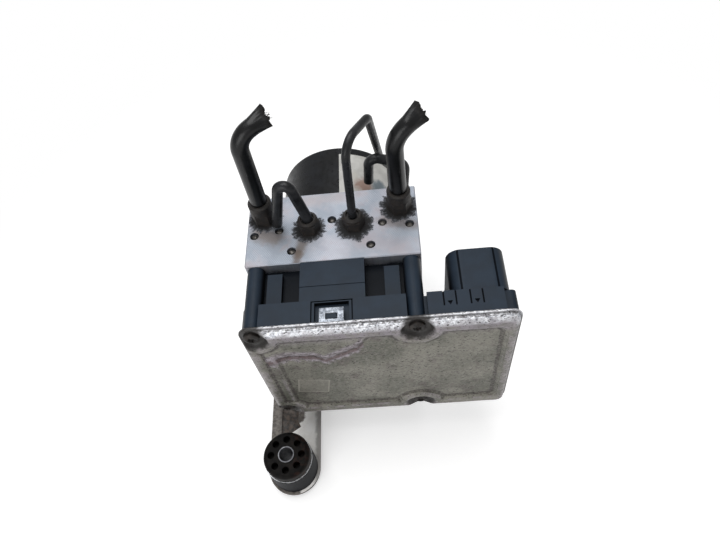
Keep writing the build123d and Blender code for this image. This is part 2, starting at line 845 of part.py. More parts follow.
with BuildPart() as ecu_screws:
    with BuildSketch(front_plane(block_front + screw_bite)):
        with Locations(*screw_spots):
            Circle(screw_radius)
    extrude(amount=block_front + screw_bite - seat_y)
    with BuildSketch(front_plane(seat_y)):
        with Locations(*screw_spots):
            Circle(screw_head_radius)
    extrude(amount=screw_head_height)
    chamfer(ecu_screws.faces().group_by(Axis.Y)[0].edges(), length=head_chamfer)
    with BuildSketch(front_plane(seat_y - screw_head_height)):
        with Locations(*screw_spots):
            for turn in (0, 60, 120):
                SlotCenterToCenter(2 * drive_lobe, drive_lobe, rotation=turn)
    extrude(amount=-drive_depth, mode=Mode.SUBTRACT)
save(ecu_screws, "ecu_screws")

# ---------------------------------------------------------------- electronics
chip_sizes = [
    # centre from the rim's centre in X and Z, then width and height
    (-38.0, 22.0, 16.0, 16.0),
    (-8.0, 20.0, 14.0, 14.0),
    (16.0, -18.0, 20.0, 12.0),
    (-34.0, -20.0, 12.0, 18.0),
    (44.0, 30.0, 9.0, 9.0),
]
capacitor_spots = [(38.0, -6.0), (38.0, -22.0)]
capacitor_radius = 3.0
capacitor_height = 5.0

with BuildPart() as circuit_board:
    with BuildSketch(front_plane(board_back)):
        with Locations((rim_centre_x, centre_z)):
            Rectangle(board_width, board_tall)
        with Locations(*screw_spots):
            Circle(column_radius + board_margin / 2, mode=Mode.SUBTRACT)
    extrude(amount=board_thickness)
save(circuit_board, "circuit_board")

with BuildPart() as board_chips:
    for dx, dz, width, tall in chip_sizes:
        with BuildSketch(front_plane(board_front)):
            with Locations((rim_centre_x + dx, centre_z + dz)):
                Rectangle(width, tall)
        extrude(amount=chip_height)
    with BuildSketch(front_plane(board_front)):
        with Locations(*[(rim_centre_x + dx, centre_z + dz) for dx, dz in capacitor_spots]):
            Circle(capacitor_radius)
    extrude(amount=capacitor_height)
save(board_chips, "board_chips")

with BuildPart() as connector_pins:
    with BuildSketch(front_plane(board_back)):
        with Locations(*pin_spots):
            Rectangle(pin_size, pin_size)
        with Locations(*blade_spots):
            Rectangle(pin_size, blade_width)
    extrude(amount=-(floor_back - board_back + pin_reach))
save(connector_pins, "connector_pins")

# ---------------------------------------------------------------- valves and their coils
with BuildPart() as valve_bodies:
    with BuildSketch(front_plane(block_front)):
        with Locations(*valve_spots):
            Circle(valve_radius)
    extrude(amount=-valve_insert)
    with BuildSketch(front_plane(block_front)):
        with Locations(*valve_spots):
            Circle(valve_flange_radius)
    extrude(amount=-valve_flange_depth)
    with BuildSketch(front_plane(block_front)):
        with Locations(*valve_spots):
            Circle(dome_radius)
    extrude(amount=dome_length)
    # Armature space, needle bore and valve seat
    with BuildSketch(front_plane(space_back)):
        with Locations(*valve_spots):
            Circle(dome_radius - dome_wall)
    extrude(amount=space_back - space_front, mode=Mode.SUBTRACT)
    with BuildSketch(front_plane(space_back)):
        with Locations(*valve_spots):
            Circle(needle_radius + armature_clearance)
    extrude(amount=-needle_bore, mode=Mode.SUBTRACT)
    with BuildSketch(front_plane(space_back)):
        with Locations(*valve_spots):
            Circle(valve_seat_radius)
    extrude(amount=-(armature_end + valve_insert), mode=Mode.SUBTRACT)
    # Pocket for the spring that holds an inlet valve open
    with BuildSketch(front_plane(space_back)):
        with Locations(*[(x, inlet_row) for x in valve_columns]):
            Circle(spring_pocket_radius)
    extrude(amount=-spring_pocket, mode=Mode.SUBTRACT)
save(valve_bodies, "valve_bodies")

for number, (x, z) in enumerate(valve_spots, start=1):
    rear_face = inlet_rest if z == inlet_row else outlet_rest
    with BuildPart() as valve_armature:
        with BuildSketch(front_plane(rear_face)):
            with Locations((x, z)):
                Circle(dome_radius - dome_wall - armature_clearance)
        extrude(amount=armature_length)
        with BuildSketch(front_plane(rear_face)):
            with Locations((x, z)):
                Circle(needle_radius)
        extrude(amount=-needle_length)
        # The spring that closes an outlet valve sits in its armature
        if z == outlet_row:
            with BuildSketch(front_plane(rear_face - armature_length)):
                with Locations((x, z)):
                    Circle(spring_pocket_radius)
            extrude(amount=-spring_pocket, mode=Mode.SUBTRACT)
    save(valve_armature, "valve_armature_" + str(number))

with BuildPart() as valve_springs:
    for x, z in valve_spots:
        pocket_end = space_back + spring_pocket if z == inlet_row else space_front + slip + spring_pocket
        with BuildLine() as turns:
            Helix(
                pitch=valve_spring_pitch,
                height=valve_spring_length,
                radius=valve_spring_radius,
                center=(x, pocket_end - valve_spring_wire - slip, z),
                direction=(0, -1, 0),
            )
        with BuildSketch(Plane(origin=turns.line @ 0, z_dir=turns.line % 0)):
            Circle(valve_spring_wire)
        sweep(is_frenet=True)
save(valve_springs, "valve_springs")

with BuildPart() as coil_yokes:
    with BuildSketch(front_plane(coil_front)):
        with Locations(*valve_spots):
            Circle(coil_radius)
    extrude(amount=-coil_length)
    with BuildSketch(front_plane(coil_front + coil_wall)):
        with Locations(*valve_spots):
            Circle(coil_radius - coil_wall)
    extrude(amount=-(coil_length - 2 * coil_wall), mode=Mode.SUBTRACT)
    with BuildSketch(front_plane(coil_back)):
        with Locations(*valve_spots):
            Circle(dome_radius + slip)
    extrude(amount=coil_length, mode=Mode.SUBTRACT)
    with BuildSketch(front_plane(coil_front)):
        with Locations(*terminal_spots):
            Circle(terminal_radius + slip)
    extrude(amount=-coil_wall, mode=Mode.SUBTRACT)
save(coil_yokes, "coil_yokes")

with BuildPart() as coil_windings:
    with BuildSketch(front_plane(coil_front + coil_wall + slip)):
        with Locations(*valve_spots):
            Circle(coil_radius - coil_wall - slip)
            Circle(dome_radius + slip, mode=Mode.SUBTRACT)
    extrude(amount=-(coil_length - 2 * coil_wall - 2 * slip))
    with BuildSketch(front_plane(coil_front + coil_wall + slip)):
        with Locations(*terminal_spots):
            Circle(terminal_radius)
    extrude(amount=coil_front + coil_wall + slip - board_back)
save(coil_windings, "coil_windings")

# ---------------------------------------------------------------- pump
for side, sign in (("left", -1), ("right", 1)):
    with BuildPart() as pump_piston:
        with BuildSketch(side_plane(centre_x + sign * piston_inner)):
            with Locations((pump_y, centre_z)):
                Circle(piston_radius)
        extrude(amount=sign * piston_length)
        chamfer(pump_piston.edges(), length=piston_chamfer)
    save(pump_piston, "pump_piston_" + side)
    with BuildPart() as pump_spring:
        with BuildLine() as turns:
            Helix(
                pitch=pump_spring_pitch,
                height=pump_cap_inner - piston_outer - 2 * pump_spring_wire - 2 * slip,
                radius=pump_spring_radius,
                center=(centre_x + sign * (piston_outer + pump_spring_wire + slip), pump_y, centre_z),
                direction=(sign, 0, 0),
            )
        with BuildSketch(Plane(origin=turns.line @ 0, z_dir=turns.line % 0)):
            Circle(pump_spring_wire)
        sweep(is_frenet=True)
    save(pump_spring, "pump_spring_" + side)

with BuildPart() as pump_caps:
    for sign in (-1, 1):
        with BuildSketch(side_plane(centre_x + sign * pump_cap_inner)):
            with Locations((pump_y, centre_z)):
                Circle(pump_cap_radius)
        extrude(amount=sign * (pump_cap_length - plug_sink))
        with BuildSketch(side_plane(centre_x + sign * (block_width / 2 - plug_sink))):
            with Locations((pump_y, centre_z)):
                RegularPolygon(pump_cap_radius / 2, 6)
        extrude(amount=-sign * pump_cap_socket, mode=Mode.SUBTRACT)
save(pump_caps, "pump_caps")

# ---------------------------------------------------------------- accumulators
for side, (x, y) in zip(("left", "right"), accumulator_spots):
    piston_top = accumulator_top - slip
    with BuildPart() as accumulator_piston:
        with BuildSketch(level(piston_top)):
            with Locations((x, y)):
                Circle(accumulator_radius)
        extrude(amount=-accumulator_piston_length)
        with BuildSketch(level(piston_top - accumulator_piston_length)):
            with Locations((x, y)):
                Circle(accumulator_radius - accumulator_piston_wall)
        extrude(amount=accumulator_piston_length / 2, mode=Mode.SUBTRACT)
    save(accumulator_piston, "accumulator_piston_" + side)
    with BuildPart() as accumulator_spring:
        with BuildLine() as turns:
            Helix(
                pitch=accumulator_spring_pitch,
                height=accumulator_spring_length,
                radius=accumulator_spring_radius,
                center=(x, y, block_bottom + accumulator_cap_thickness + accumulator_spring_wire + slip),
                direction=(0, 0, 1),
            )
        with BuildSketch(Plane(origin=turns.line @ 0, z_dir=turns.line % 0)):
            Circle(accumulator_spring_wire)
        sweep(is_frenet=True)
    save(accumulator_spring, "accumulator_spring_" + side)

with BuildPart() as accumulator_caps:
    with BuildSketch(level(block_bottom + plug_sink)):
        with Locations(*accumulator_spots):
            Circle(accumulator_cap_radius)
    extrude(amount=accumulator_cap_thickness - plug_sink)
save(accumulator_caps, "accumulator_caps")

# ---------------------------------------------------------------- motor
guide_middle = (brush_inner + guide_end) / 2
guide_length = guide_end - brush_inner

with BuildPart() as motor_end_plate:
    with BuildSketch(front_plane(plate_back)):
        with Locations((centre_x, centre_z)):
            Circle(motor_radius + motor_flange)
        with Locations(*motor_screw_spots):
            Circle(motor_screw_radius + ear_margin)
    extrude(amount=motor_plate)
    # Spigot into the block and bearing boss behind it
    with BuildSketch(front_plane(block_back)):
        with Locations((centre_x, centre_z)):
            Circle(bearing_radius + spigot_margin)
    extrude(amount=motor_plate)
    with BuildSketch(front_plane(front_bearing_end)):
        with Locations((centre_x, centre_z)):
            Circle(bearing_radius + motor_wall)
    extrude(amount=bearing_width)
    # Brush guides, closed at their outer ends
    for sign in (-1, 1):
        with BuildSketch(front_plane(commutator_end)):
            with Locations((centre_x + sign * (guide_middle + 2 * guide_wall), centre_z)):
                Rectangle(guide_length, brush_width + 2 * slip + 2 * guide_wall)
        extrude(amount=commutator_end - plate_back)
        with BuildSketch(front_plane(commutator_end - guide_wall)):
            with Locations((centre_x + sign * guide_middle, centre_z)):
                Rectangle(guide_length, brush_width + 2 * slip)
        extrude(amount=commutator_length - 2 * guide_wall, mode=Mode.SUBTRACT)
    # Bearing bore, with a lip in front
    with BuildSketch(front_plane(front_bearing_end)):
        with Locations((centre_x, centre_z)):
            Circle(bearing_radius + press)
    extrude(amount=bearing_width, mode=Mode.SUBTRACT)
    with BuildSketch(front_plane(front_bearing_end)):
        with Locations((centre_x, centre_z)):
            Circle(bearing_radius - 2 * bearing_lip)
    extrude(amount=front_bearing_end - spigot_front, mode=Mode.SUBTRACT)
    # Seal groove, screw holes and the lead's opening
    with BuildSketch(front_plane(block_back)):
        with Locations((centre_x, centre_z)):
            Circle(motor_radius - seal_ring_inset)
            Circle(motor_radius - seal_ring_inset - seal_width, mode=Mode.SUBTRACT)
    extrude(amount=-seal_height, mode=Mode.SUBTRACT)
    with BuildSketch(front_plane(plate_back)):
        with Locations(*motor_screw_spots):
            Circle(motor_screw_radius + screw_clearance)
        with Locations((centre_x, lead_z)):
            Circle(lead_radius + slip)
    extrude(amount=motor_plate, mode=Mode.SUBTRACT)
save(motor_end_plate, "motor_end_plate")

with BuildPart() as motor_seal:
    with BuildSketch(front_plane(block_back)):
        with Locations((centre_x, centre_z)):
            Circle(motor_radius - seal_ring_inset - seal_clearance)
            Circle(motor_radius - seal_ring_inset - seal_width + seal_clearance, mode=Mode.SUBTRACT)
    extrude(amount=-seal_height)
save(motor_seal, "motor_seal")

with BuildPart() as motor_can:
    with BuildSketch(front_plane(plate_back)):
        with Locations((centre_x, centre_z)):
            Circle(motor_radius)
    extrude(amount=-(motor_back - plate_back))
    fillet(motor_can.faces().sort_by(Axis.Y)[-1].edges(), radius=can_edge)
    with BuildSketch(front_plane(motor_back)):
        with Locations((centre_x, centre_z)):
            Circle(bearing_radius + motor_wall)
    extrude(amount=-(rear_bearing_end + rear_boss_end - motor_back))
    with BuildSketch(front_plane(plate_back)):
        with Locations((centre_x, centre_z)):
            Circle(motor_radius - motor_wall)
    extrude(amount=-(can_inside - plate_back), mode=Mode.SUBTRACT)
    with BuildSketch(front_plane(plate_back)):
        with Locations((centre_x, centre_z)):
            Circle(bearing_radius + press)
    extrude(amount=-(rear_bearing_end - plate_back), mode=Mode.SUBTRACT)
save(motor_can, "motor_can")

with BuildPart() as motor_bearings:
    for bearing_end in (front_bearing_end, rear_bearing_end):
        with BuildSketch(front_plane(bearing_end)):
            with Locations((centre_x, centre_z)):
                Circle(bearing_radius)
                Circle(shaft_radius + running_clearance, mode=Mode.SUBTRACT)
        extrude(amount=bearing_width)
save(motor_bearings, "motor_bearings")

with BuildPart() as motor_magnets:
    for middle in (90, 270):
        with BuildSketch(front_plane(core_y - magnet_overhang)):
            with BuildLine():
                start = middle - magnet_angle / 2
                inner = CenterArc((centre_x, centre_z), magnet_inner, start, magnet_angle)
                outer = CenterArc((centre_x, centre_z), magnet_outer, start, magnet_angle)
                Line(inner @ 0, outer @ 0)
                Line(inner @ 1, outer @ 1)
            make_face()
        extrude(amount=-(core_length + 2 * magnet_overhang))
save(motor_magnets, "motor_magnets")

with BuildPart() as rotor_shaft:
    with BuildSketch(front_plane(rear_bearing_end - slip)):
        with Locations((centre_x, centre_z)):
            Circle(shaft_radius)
    extrude(amount=rear_bearing_end - slip - ring_front - ring_width)
    with BuildSketch(front_plane(spigot_front - slip)):
        with Locations((centre_x, centre_z)):
            Circle(collar_radius)
    extrude(amount=spigot_front - 2 * slip - ring_front - ring_width)
    with BuildSketch(front_plane(ring_front + ring_width + slip)):
        with Locations((centre_x, centre_z + eccentric_offset)):
            Circle(eccentric_radius)
    extrude(amount=ring_width + 2 * slip)
save(rotor_shaft, "rotor_shaft")

with BuildPart() as eccentric_ring:
    with BuildSketch(front_plane(ring_front + ring_width)):
        with Locations((centre_x, centre_z + eccentric_offset)):
            Circle(ring_radius)
            Circle(eccentric_radius + running_clearance, mode=Mode.SUBTRACT)
    extrude(amount=ring_width)
save(eccentric_ring, "eccentric_ring")

with BuildPart() as rotor_core:
    with BuildSketch(front_plane(core_end)):
        with Locations((centre_x, centre_z)):
            Circle(core_radius)
            Circle(shaft_radius + press, mode=Mode.SUBTRACT)
            with PolarLocations(slot_middle, slot_count):
                Rectangle(slot_deep, slot_wide, mode=Mode.SUBTRACT)
            with PolarLocations(core_radius, slot_count):
                Rectangle(2 * slot_lip + slip, slot_mouth, mode=Mode.SUBTRACT)
    extrude(amount=core_length)
save(rotor_core, "rotor_core")

with BuildPart() as rotor_winding:
    with BuildSketch(front_plane(core_end)):
        with Locations((centre_x, centre_z)):
            with PolarLocations(slot_middle, slot_count):
                Rectangle(slot_deep - 2 * slip, slot_wide - 2 * slip)
    extrude(amount=core_length)
    for head_end in (core_y, core_end + winding_head):
        with BuildSketch(front_plane(head_end)):
            with Locations((centre_x, centre_z)):
                Circle(slot_middle + slot_deep / 2 - slip)
                Circle(slot_middle - slot_deep / 2 + slip, mode=Mode.SUBTRACT)
        extrude(amount=winding_head)
save(rotor_winding, "rotor_winding")

with BuildPart() as commutator:
    with BuildSketch(front_plane(commutator_end)):
        with Locations((centre_x, centre_z)):
            Circle(commutator_radius)
            Circle(shaft_radius + press, mode=Mode.SUBTRACT)
            with PolarLocations(commutator_radius, slot_count):
                Rectangle(2 * segment_depth, segment_slit, mode=Mode.SUBTRACT)
    extrude(amount=commutator_length)
save(commutator, "commutator")

with BuildPart() as motor_brushes:
    with BuildSketch(front_plane(commutator_end - guide_wall - slip)):
        for sign in (-1, 1):
            with Locations((centre_x + sign * (brush_inner + brush_outer) / 2, centre_z)):
                Rectangle(brush_length, brush_width)
    extrude(amount=commutator_length - 2 * guide_wall - 2 * slip)
save(motor_brushes, "motor_brushes")

with BuildPart() as brush_springs:
    for sign in (-1, 1):
        with BuildLine() as turns:
            Helix(
                pitch=brush_spring_pitch,
                height=brush_spring_length - 2 * brush_spring_wire,
                radius=brush_spring_radius,
                center=(
                    centre_x + sign * (brush_outer + brush_spring_wire + slip),
                    commutator_y + commutator_length / 2,
                    centre_z,
                ),
                direction=(sign, 0, 0),
            )
        with BuildSketch(Plane(origin=turns.line @ 0, z_dir=turns.line % 0)):
            Circle(brush_spring_wire)
        sweep(is_frenet=True)
save(brush_springs, "brush_springs")

with BuildPart() as lead_insulator:
    with BuildSketch(front_plane(plate_back + guide_wall)):
        with Locations((centre_x, lead_z)):
            Circle(lead_radius)
        with Locations(*lead_spots):
            Circle(lead_wire + slip, mode=Mode.SUBTRACT)
    extrude(amount=plate_back + guide_wall - block_front)
save(lead_insulator, "lead_insulator")

with BuildPart() as lead_wires:
    with BuildSketch(front_plane(commutator_y)):
        with Locations(*lead_spots):
            Circle(lead_wire)
    extrude(amount=commutator_y - board_back)
save(lead_wires, "lead_wires")

with BuildPart() as motor_screws:
    with BuildSketch(front_plane(plate_back)):
        with Locations(*motor_screw_spots):
            Circle(motor_screw_radius)
    extrude(amount=motor_plate + screw_bite - 2 * slip)
    with BuildSketch(front_plane(plate_back)):
        with Locations(*motor_screw_spots):
            Circle(screw_head_radius)
    extrude(amount=-screw_head_height)
    with BuildSketch(front_plane(plate_back + screw_head_height)):
        with Locations(*motor_screw_spots):
            for turn in (0, 60, 120):
                SlotCenterToCenter(2 * drive_lobe, drive_lobe, rotation=turn)
    extrude(amount=drive_depth, mode=Mode.SUBTRACT)
save(motor_screws, "motor_screws")

with BuildPart() as motor_label:
    with BuildSketch(front_plane(motor_back - label_inset)):
        with BuildLine():
            under = CenterArc((centre_x, centre_z), motor_radius, label_start, label_angle)
            over = CenterArc((centre_x, centre_z), motor_radius + label_thickness, label_start, label_angle)
            Line(under @ 0, over @ 0)
            Line(under @ 1, over @ 1)
        make_face()
    extrude(amount=label_length)
save(motor_label, "motor_label")

# ---------------------------------------------------------------- pipes, sleeves and nuts
def above(port, nut, course):
    """Points of a pipe from the bottom of its port on the block's top, through its nut, along its course."""
    x, y = port
    points = [(x, y, block_top - port_thread_length), (x, y, block_top + nut + nut_straight)]
    return points + [(x + dx, y + dy, block_top + dz) for dx, dy, dz in course]


def shortened(points, length):
    """The same points with the last stretch cut back by a length."""
    (x0, y0, z0), (x1, y1, z1) = points[-2:]
    keep = 1 - length / sqrt((x1 - x0) ** 2 + (y1 - y0) ** 2 + (z1 - z0) ** 2)
    return points[:-1] + [(x0 + (x1 - x0) * keep, y0 + (y1 - y0) * keep, z0 + (z1 - z0) * keep)]


outer_left, outer_right = outer_ports
inner_left, inner_right = inner_ports
rear_x = inlet_spots[1][0]
rear_start = block_back - inlet_thread_length
rear_points = [(rear_x, rear_start, inlet_z)]
rear_points += [(rear_x + dx, block_back + dy, inlet_z + dz) for dx, dy, dz in rear_course]

with BuildPart() as flare_nuts:
    for ports, across_flats, hexagon, collar_radius, collar in (
        (outer_ports, outer_nut_across_flats, outer_nut_hexagon, outer_collar_radius, outer_collar_height),
        (inner_ports, inner_nut_across_flats, inner_nut_hexagon, inner_collar_radius, inner_collar_height),
    ):
        with BuildSketch(level(block_top)):
            with Locations(*ports):
                RegularPolygon(across_flats / 2, 6, major_radius=False)
        extrude(amount=hexagon)
        with BuildSketch(level(block_top + hexagon)):
            with Locations(*ports):
                Circle(collar_radius)
        extrude(amount=collar)
        chamfer(flare_nuts.faces(Select.LAST).group_by(Axis.Z)[-1].edges(), length=nut_chamfer)
    with BuildSketch(front_plane(block_back)):
        with Locations((rear_x, inlet_z)):
            RegularPolygon(inlet_nut_across_flats / 2, 6, major_radius=False)
    extrude(amount=-inlet_nut_height)
    chamfer(flare_nuts.faces().group_by(Axis.Y)[-1].edges(), length=nut_chamfer)
    # Threaded ends that press on the pipes' flares, the bores and the inner nuts' mouths
    with BuildSketch(level(block_top)):
        with Locations(*top_ports):
            Circle(port_thread_radius - nut_thread_clearance)
    extrude(amount=-(port_thread_length - flare_height - seal_clearance))
    with BuildSketch(front_plane(block_back)):
        with Locations((rear_x, inlet_z)):
            Circle(port_thread_radius - nut_thread_clearance)
    extrude(amount=inlet_thread_length - flare_height - seal_clearance)
    for port, radius in zip(top_ports, top_pipe_radii):
        with BuildSketch(level(block_top - port_thread_length)):
            with Locations(port):
                Circle(radius + nut_bore_clearance)
        extrude(amount=port_thread_length + max(outer_nut_height, inner_nut_height), mode=Mode.SUBTRACT)
    with BuildSketch(level(block_top + inner_nut_height)):
        with Locations(*inner_ports):
            Circle(inner_mouth_radius)
    extrude(amount=-inner_mouth_depth, mode=Mode.SUBTRACT)
    with BuildSketch(front_plane(rear_start)):
        with Locations((rear_x, inlet_z)):
            Circle(wide_pipe_radius + nut_bore_clearance)
    extrude(amount=-(inlet_thread_length + inlet_nut_height), mode=Mode.SUBTRACT)
save(flare_nuts, "flare_nuts")

short_points = above(inner_left, inner_nut_height, short_course)
tall_points = above(inner_right, inner_nut_height, tall_course)
short_tube = bent_tube(short_points, short_bends, wide_pipe_radius, wide_pipe_bore)
tall_tube = bent_tube(tall_points, tall_bends, pipe_radius, pipe_bore)
rear_tube = bent_tube(rear_points, rear_bends, wide_pipe_radius, wide_pipe_bore)
sleeved_tubes = []
sleeve_tubes = []
for (x, y), course, bends in (
    (outer_left, sleeve_left_course, sleeve_left_bends),
    (outer_right, sleeve_right_course, sleeve_right_bends),
):
    points = above((x, y), outer_nut_height, course)
    from_nut = [(x, y, block_top + outer_nut_height)] + points[1:]
    sleeved_tubes.append(bent_tube(shortened(points, sleeve_overhang), bends, pipe_radius, pipe_bore))
    sleeve_tubes.append(bent_tube(from_nut, bends, sleeve_radius, pipe_radius + sleeve_pipe_clearance))

with BuildPart() as short_pipe:
    add(short_tube)
    with BuildSketch(level(block_top - port_thread_length)):
        with Locations(inner_left):
            Circle(flare_radius)
            Circle(wide_pipe_bore, mode=Mode.SUBTRACT)
    extrude(amount=flare_height)
save(short_pipe, "short_pipe")

with BuildPart() as tall_pipe:
    add(tall_tube)
    with BuildSketch(level(block_top - port_thread_length)):
        with Locations(inner_right):
            Circle(flare_radius)
            Circle(pipe_bore, mode=Mode.SUBTRACT)
    extrude(amount=flare_height)
save(tall_pipe, "tall_pipe")

with BuildPart() as rear_pipe:
    add(rear_tube)
    with BuildSketch(front_plane(rear_start)):
        with Locations((rear_x, inlet_z)):
            Circle(flare_radius)
            Circle(wide_pipe_bore, mode=Mode.SUBTRACT)
    extrude(amount=-flare_height)
save(rear_pipe, "rear_pipe")

with BuildPart() as sleeved_pipes:
    add(sleeved_tubes)
    with BuildSketch(level(block_top - port_thread_length)):
        with Locations(*outer_ports):
            Circle(flare_radius)
            Circle(pipe_bore, mode=Mode.SUBTRACT)
    extrude(amount=flare_height)
save(sleeved_pipes, "sleeved_pipes")

with BuildPart() as pipe_sleeves:
    add(sleeve_tubes)
save(pipe_sleeves, "pipe_sleeves")

# ---------------------------------------------------------------- bracket and bushes
arm_middle = arm_level + sheet / 2
seat_middle = block_bottom - sheet / 2
seat_front = front_web_y - sheet / 2
seat_back = rear_web_y + sheet / 2
seat_left = block_left + seat_margin
seat_right = side_web_x + sheet / 2
seat_centre_y = block_front + block_depth / 2
# Each arm: its upright plane, the sheet's direction across it, and the places of end, web and seat
arm_courses = [
    (side_plane(0), (1, 0, 0), 0.0, front_web_y, seat_centre_y),
    (side_plane(rear_bush_x), (1, 0, 0), rear_bush_y, rear_web_y, seat_centre_y),
    (front_plane(side_bush_y), (0, 1, 0), side_bush_x, side_web_x, centre_x),
]

with BuildPart() as mounting_bracket:
    with BuildSketch(level(seat_bottom)):
        with Locations(((seat_left + seat_right) / 2, (seat_front + seat_back) / 2)):
            Rectangle(seat_right - seat_left, seat_back - seat_front)
    extrude(amount=sheet)
    for plane, across, far, web, near in arm_courses:
        with BuildLine(plane) as course:
            FilletPolyline(
                (far, arm_middle),
                (web, arm_middle),
                (web, seat_middle),
                (near, seat_middle),
                radius=bend_radius,
            )
        with BuildSketch(Plane(origin=course.line @ 0, x_dir=across, z_dir=course.line % 0)):
            Rectangle(arm_width, sheet)
        sweep()
    with BuildSketch(level(arm_level)):
        with Locations(*bush_spots):
            Circle(arm_width / 2)
    extrude(amount=sheet)
    with BuildSketch(level(arm_level)):
        with Locations(*bush_spots):
            Circle(bush_neck_radius + slip)
    extrude(amount=sheet, mode=Mode.SUBTRACT)
    with BuildSketch(level(seat_bottom)):
        with Locations(*bracket_screw_spots):
            Circle(bracket_screw_radius + screw_clearance)
    extrude(amount=sheet, mode=Mode.SUBTRACT)
    # Shallow pressed bead on the front arm
    with BuildSketch(level(arm_top)):
        with BuildLine():
            Polyline(front_bead, close=True)
        make_face()
    extrude(amount=-bead_depth, mode=Mode.SUBTRACT)
save(mounting_bracket, "mounting_bracket")

ring_bottom = bush_top - bush_disc_thickness - bush_ring_thickness

with BuildPart() as bush_rubbers:
    for bottom, top, radius in (
        (0.0, arm_level, bush_foot_radius),
        (arm_level, arm_top, bush_neck_radius),
        (arm_top, ring_bottom, bush_body_radius),
        (ring_bottom, ring_bottom + bush_ring_thickness, bush_ring_bore - slip),
        (ring_bottom + bush_ring_thickness, bush_top, bush_disc_radius),
    ):
        with BuildSketch(level(bottom)):
            with Locations(*bush_spots):
                Circle(radius)
        extrude(amount=top - bottom)
    fillet(bush_rubbers.faces().group_by(Axis.Z)[-1].edges(), radius=bush_disc_fillet)
    with BuildSketch(level(0)):
        with Locations(*bush_spots):
            Circle(bush_sleeve_radius + press)
    extrude(amount=bush_top, mode=Mode.SUBTRACT)
    for spot in bush_spots:
        with BuildSketch(level(bush_top)):
            with Locations(spot):
                with PolarLocations(bush_hole_circle_radius, bush_hole_count):
                    Circle(bush_hole_radius)
        extrude(amount=-bush_hole_depth, mode=Mode.SUBTRACT)
save(bush_rubbers, "bush_rubbers")

with BuildPart() as bush_rings:
    with BuildSketch(level(ring_bottom)):
        with Locations(*bush_spots):
            Circle(bush_ring_radius)
            Circle(bush_ring_bore, mode=Mode.SUBTRACT)
    extrude(amount=bush_ring_thickness)
save(bush_rings, "bush_rings")

with BuildPart() as bush_sleeves:
    with BuildSketch(level(0)):
        with Locations(*bush_spots):
            Circle(bush_sleeve_radius)
            Circle(sleeve_bore_radius, mode=Mode.SUBTRACT)
    extrude(amount=bush_top + bush_sleeve_proud)
save(bush_sleeves, "bush_sleeves")

with BuildPart() as bracket_screws:
    with BuildSketch(level(seat_bottom)):
        with Locations(*bracket_screw_spots):
            Circle(bracket_screw_radius)
    extrude(amount=sheet + bracket_screw_depth - slip)
    with BuildSketch(level(seat_bottom)):
        with Locations(*bracket_screw_spots):
            RegularPolygon(bracket_screw_head, 6)
    extrude(amount=-bracket_screw_head_height)
save(bracket_screws, "bracket_screws")
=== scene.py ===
# %% [markdown]
# # A used anti-lock brake unit
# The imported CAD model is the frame: every piece is already in its place, in metres. This script
# gives each piece the finish of the real one, and remakes the pieces whose shape is soft, pressed
# or torn, such as the cover and the two rubber sleeves.

# %% Load the frame
import math

import bmesh
import bpy
import numpy as np
from mathutils import Matrix, Vector, noise


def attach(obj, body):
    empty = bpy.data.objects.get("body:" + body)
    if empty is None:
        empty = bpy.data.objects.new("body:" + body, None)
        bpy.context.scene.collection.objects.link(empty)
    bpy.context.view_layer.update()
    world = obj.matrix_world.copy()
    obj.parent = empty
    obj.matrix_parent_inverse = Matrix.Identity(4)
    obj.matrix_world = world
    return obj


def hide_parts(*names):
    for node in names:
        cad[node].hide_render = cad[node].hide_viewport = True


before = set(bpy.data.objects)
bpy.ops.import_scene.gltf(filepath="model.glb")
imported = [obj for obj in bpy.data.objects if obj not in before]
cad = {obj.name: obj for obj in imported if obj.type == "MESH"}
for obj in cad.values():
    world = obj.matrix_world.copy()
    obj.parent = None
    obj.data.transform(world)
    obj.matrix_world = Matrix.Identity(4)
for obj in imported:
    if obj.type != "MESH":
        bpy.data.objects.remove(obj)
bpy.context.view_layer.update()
MM = 0.001

# %% [markdown]
# ## Helpers
# Colours are written as sRGB hex values and turned to linear here. One function adds a node with
# its settings and links. Coordinates reach the patterns in millimetres, so a scale of 1 / 2.5
# means features 2.5 mm apart.

# %% Colour and node helpers
def srgb(code):
    """Linear colour of an sRGB hex value."""
    parts = [int(code[i:i + 2], 16) / 255 for i in (1, 3, 5)]
    return tuple(c / 12.92 if c <= 0.04045 else ((c + 0.055) / 1.055) ** 2.4 for c in parts) + (1.0,)


def feed(tree, node, inputs):
    """Gives a node its inputs, each a number, a vector, a colour or a link."""
    for key, value in inputs.items():
        if isinstance(value, bpy.types.NodeSocket):
            tree.links.new(value, node.inputs[key])
        else:
            node.inputs[key].default_value = value


def add(tree, kind, inputs=None, **settings):
    """One node with its settings and inputs."""
    made = tree.nodes.new(kind)
    for key, value in settings.items():
        setattr(made, key, value)
    feed(tree, made, inputs or {})
    return made


def new_material(name):
    """A new material, its tree, its shader and the coordinates in millimetres."""
    material = bpy.data.materials.new(name)
    material.use_nodes = True
    tree = material.node_tree
    tree.nodes.clear()
    shader = add(tree, "ShaderNodeBsdfPrincipled")
    add(tree, "ShaderNodeOutputMaterial", {"Surface": shader.outputs[0]})
    place = add(tree, "ShaderNodeTexCoord")
    millimetres = vectors(tree, "MULTIPLY", place.outputs["Object"], (1 / MM, 1 / MM, 1 / MM))
    return material, tree, shader, millimetres


def grain(tree, where, size, detail=4.0, rough=0.55):
    """Noise whose features are about size millimetres."""
    settings = {"Vector": where, "Scale": 1 / size, "Detail": detail, "Roughness": rough}
    return add(tree, "ShaderNodeTexNoise", settings).outputs["Fac"]


def ramp(tree, value, low, high, start=0.0, end=1.0):
    """Smooth step of a value from low to high."""
    made = add(
        tree,
        "ShaderNodeMapRange",
        {"Value": value, "From Min": low, "From Max": high, "To Min": start, "To Max": end},
        interpolation_type="SMOOTHSTEP",
    )
    return made.outputs["Result"]


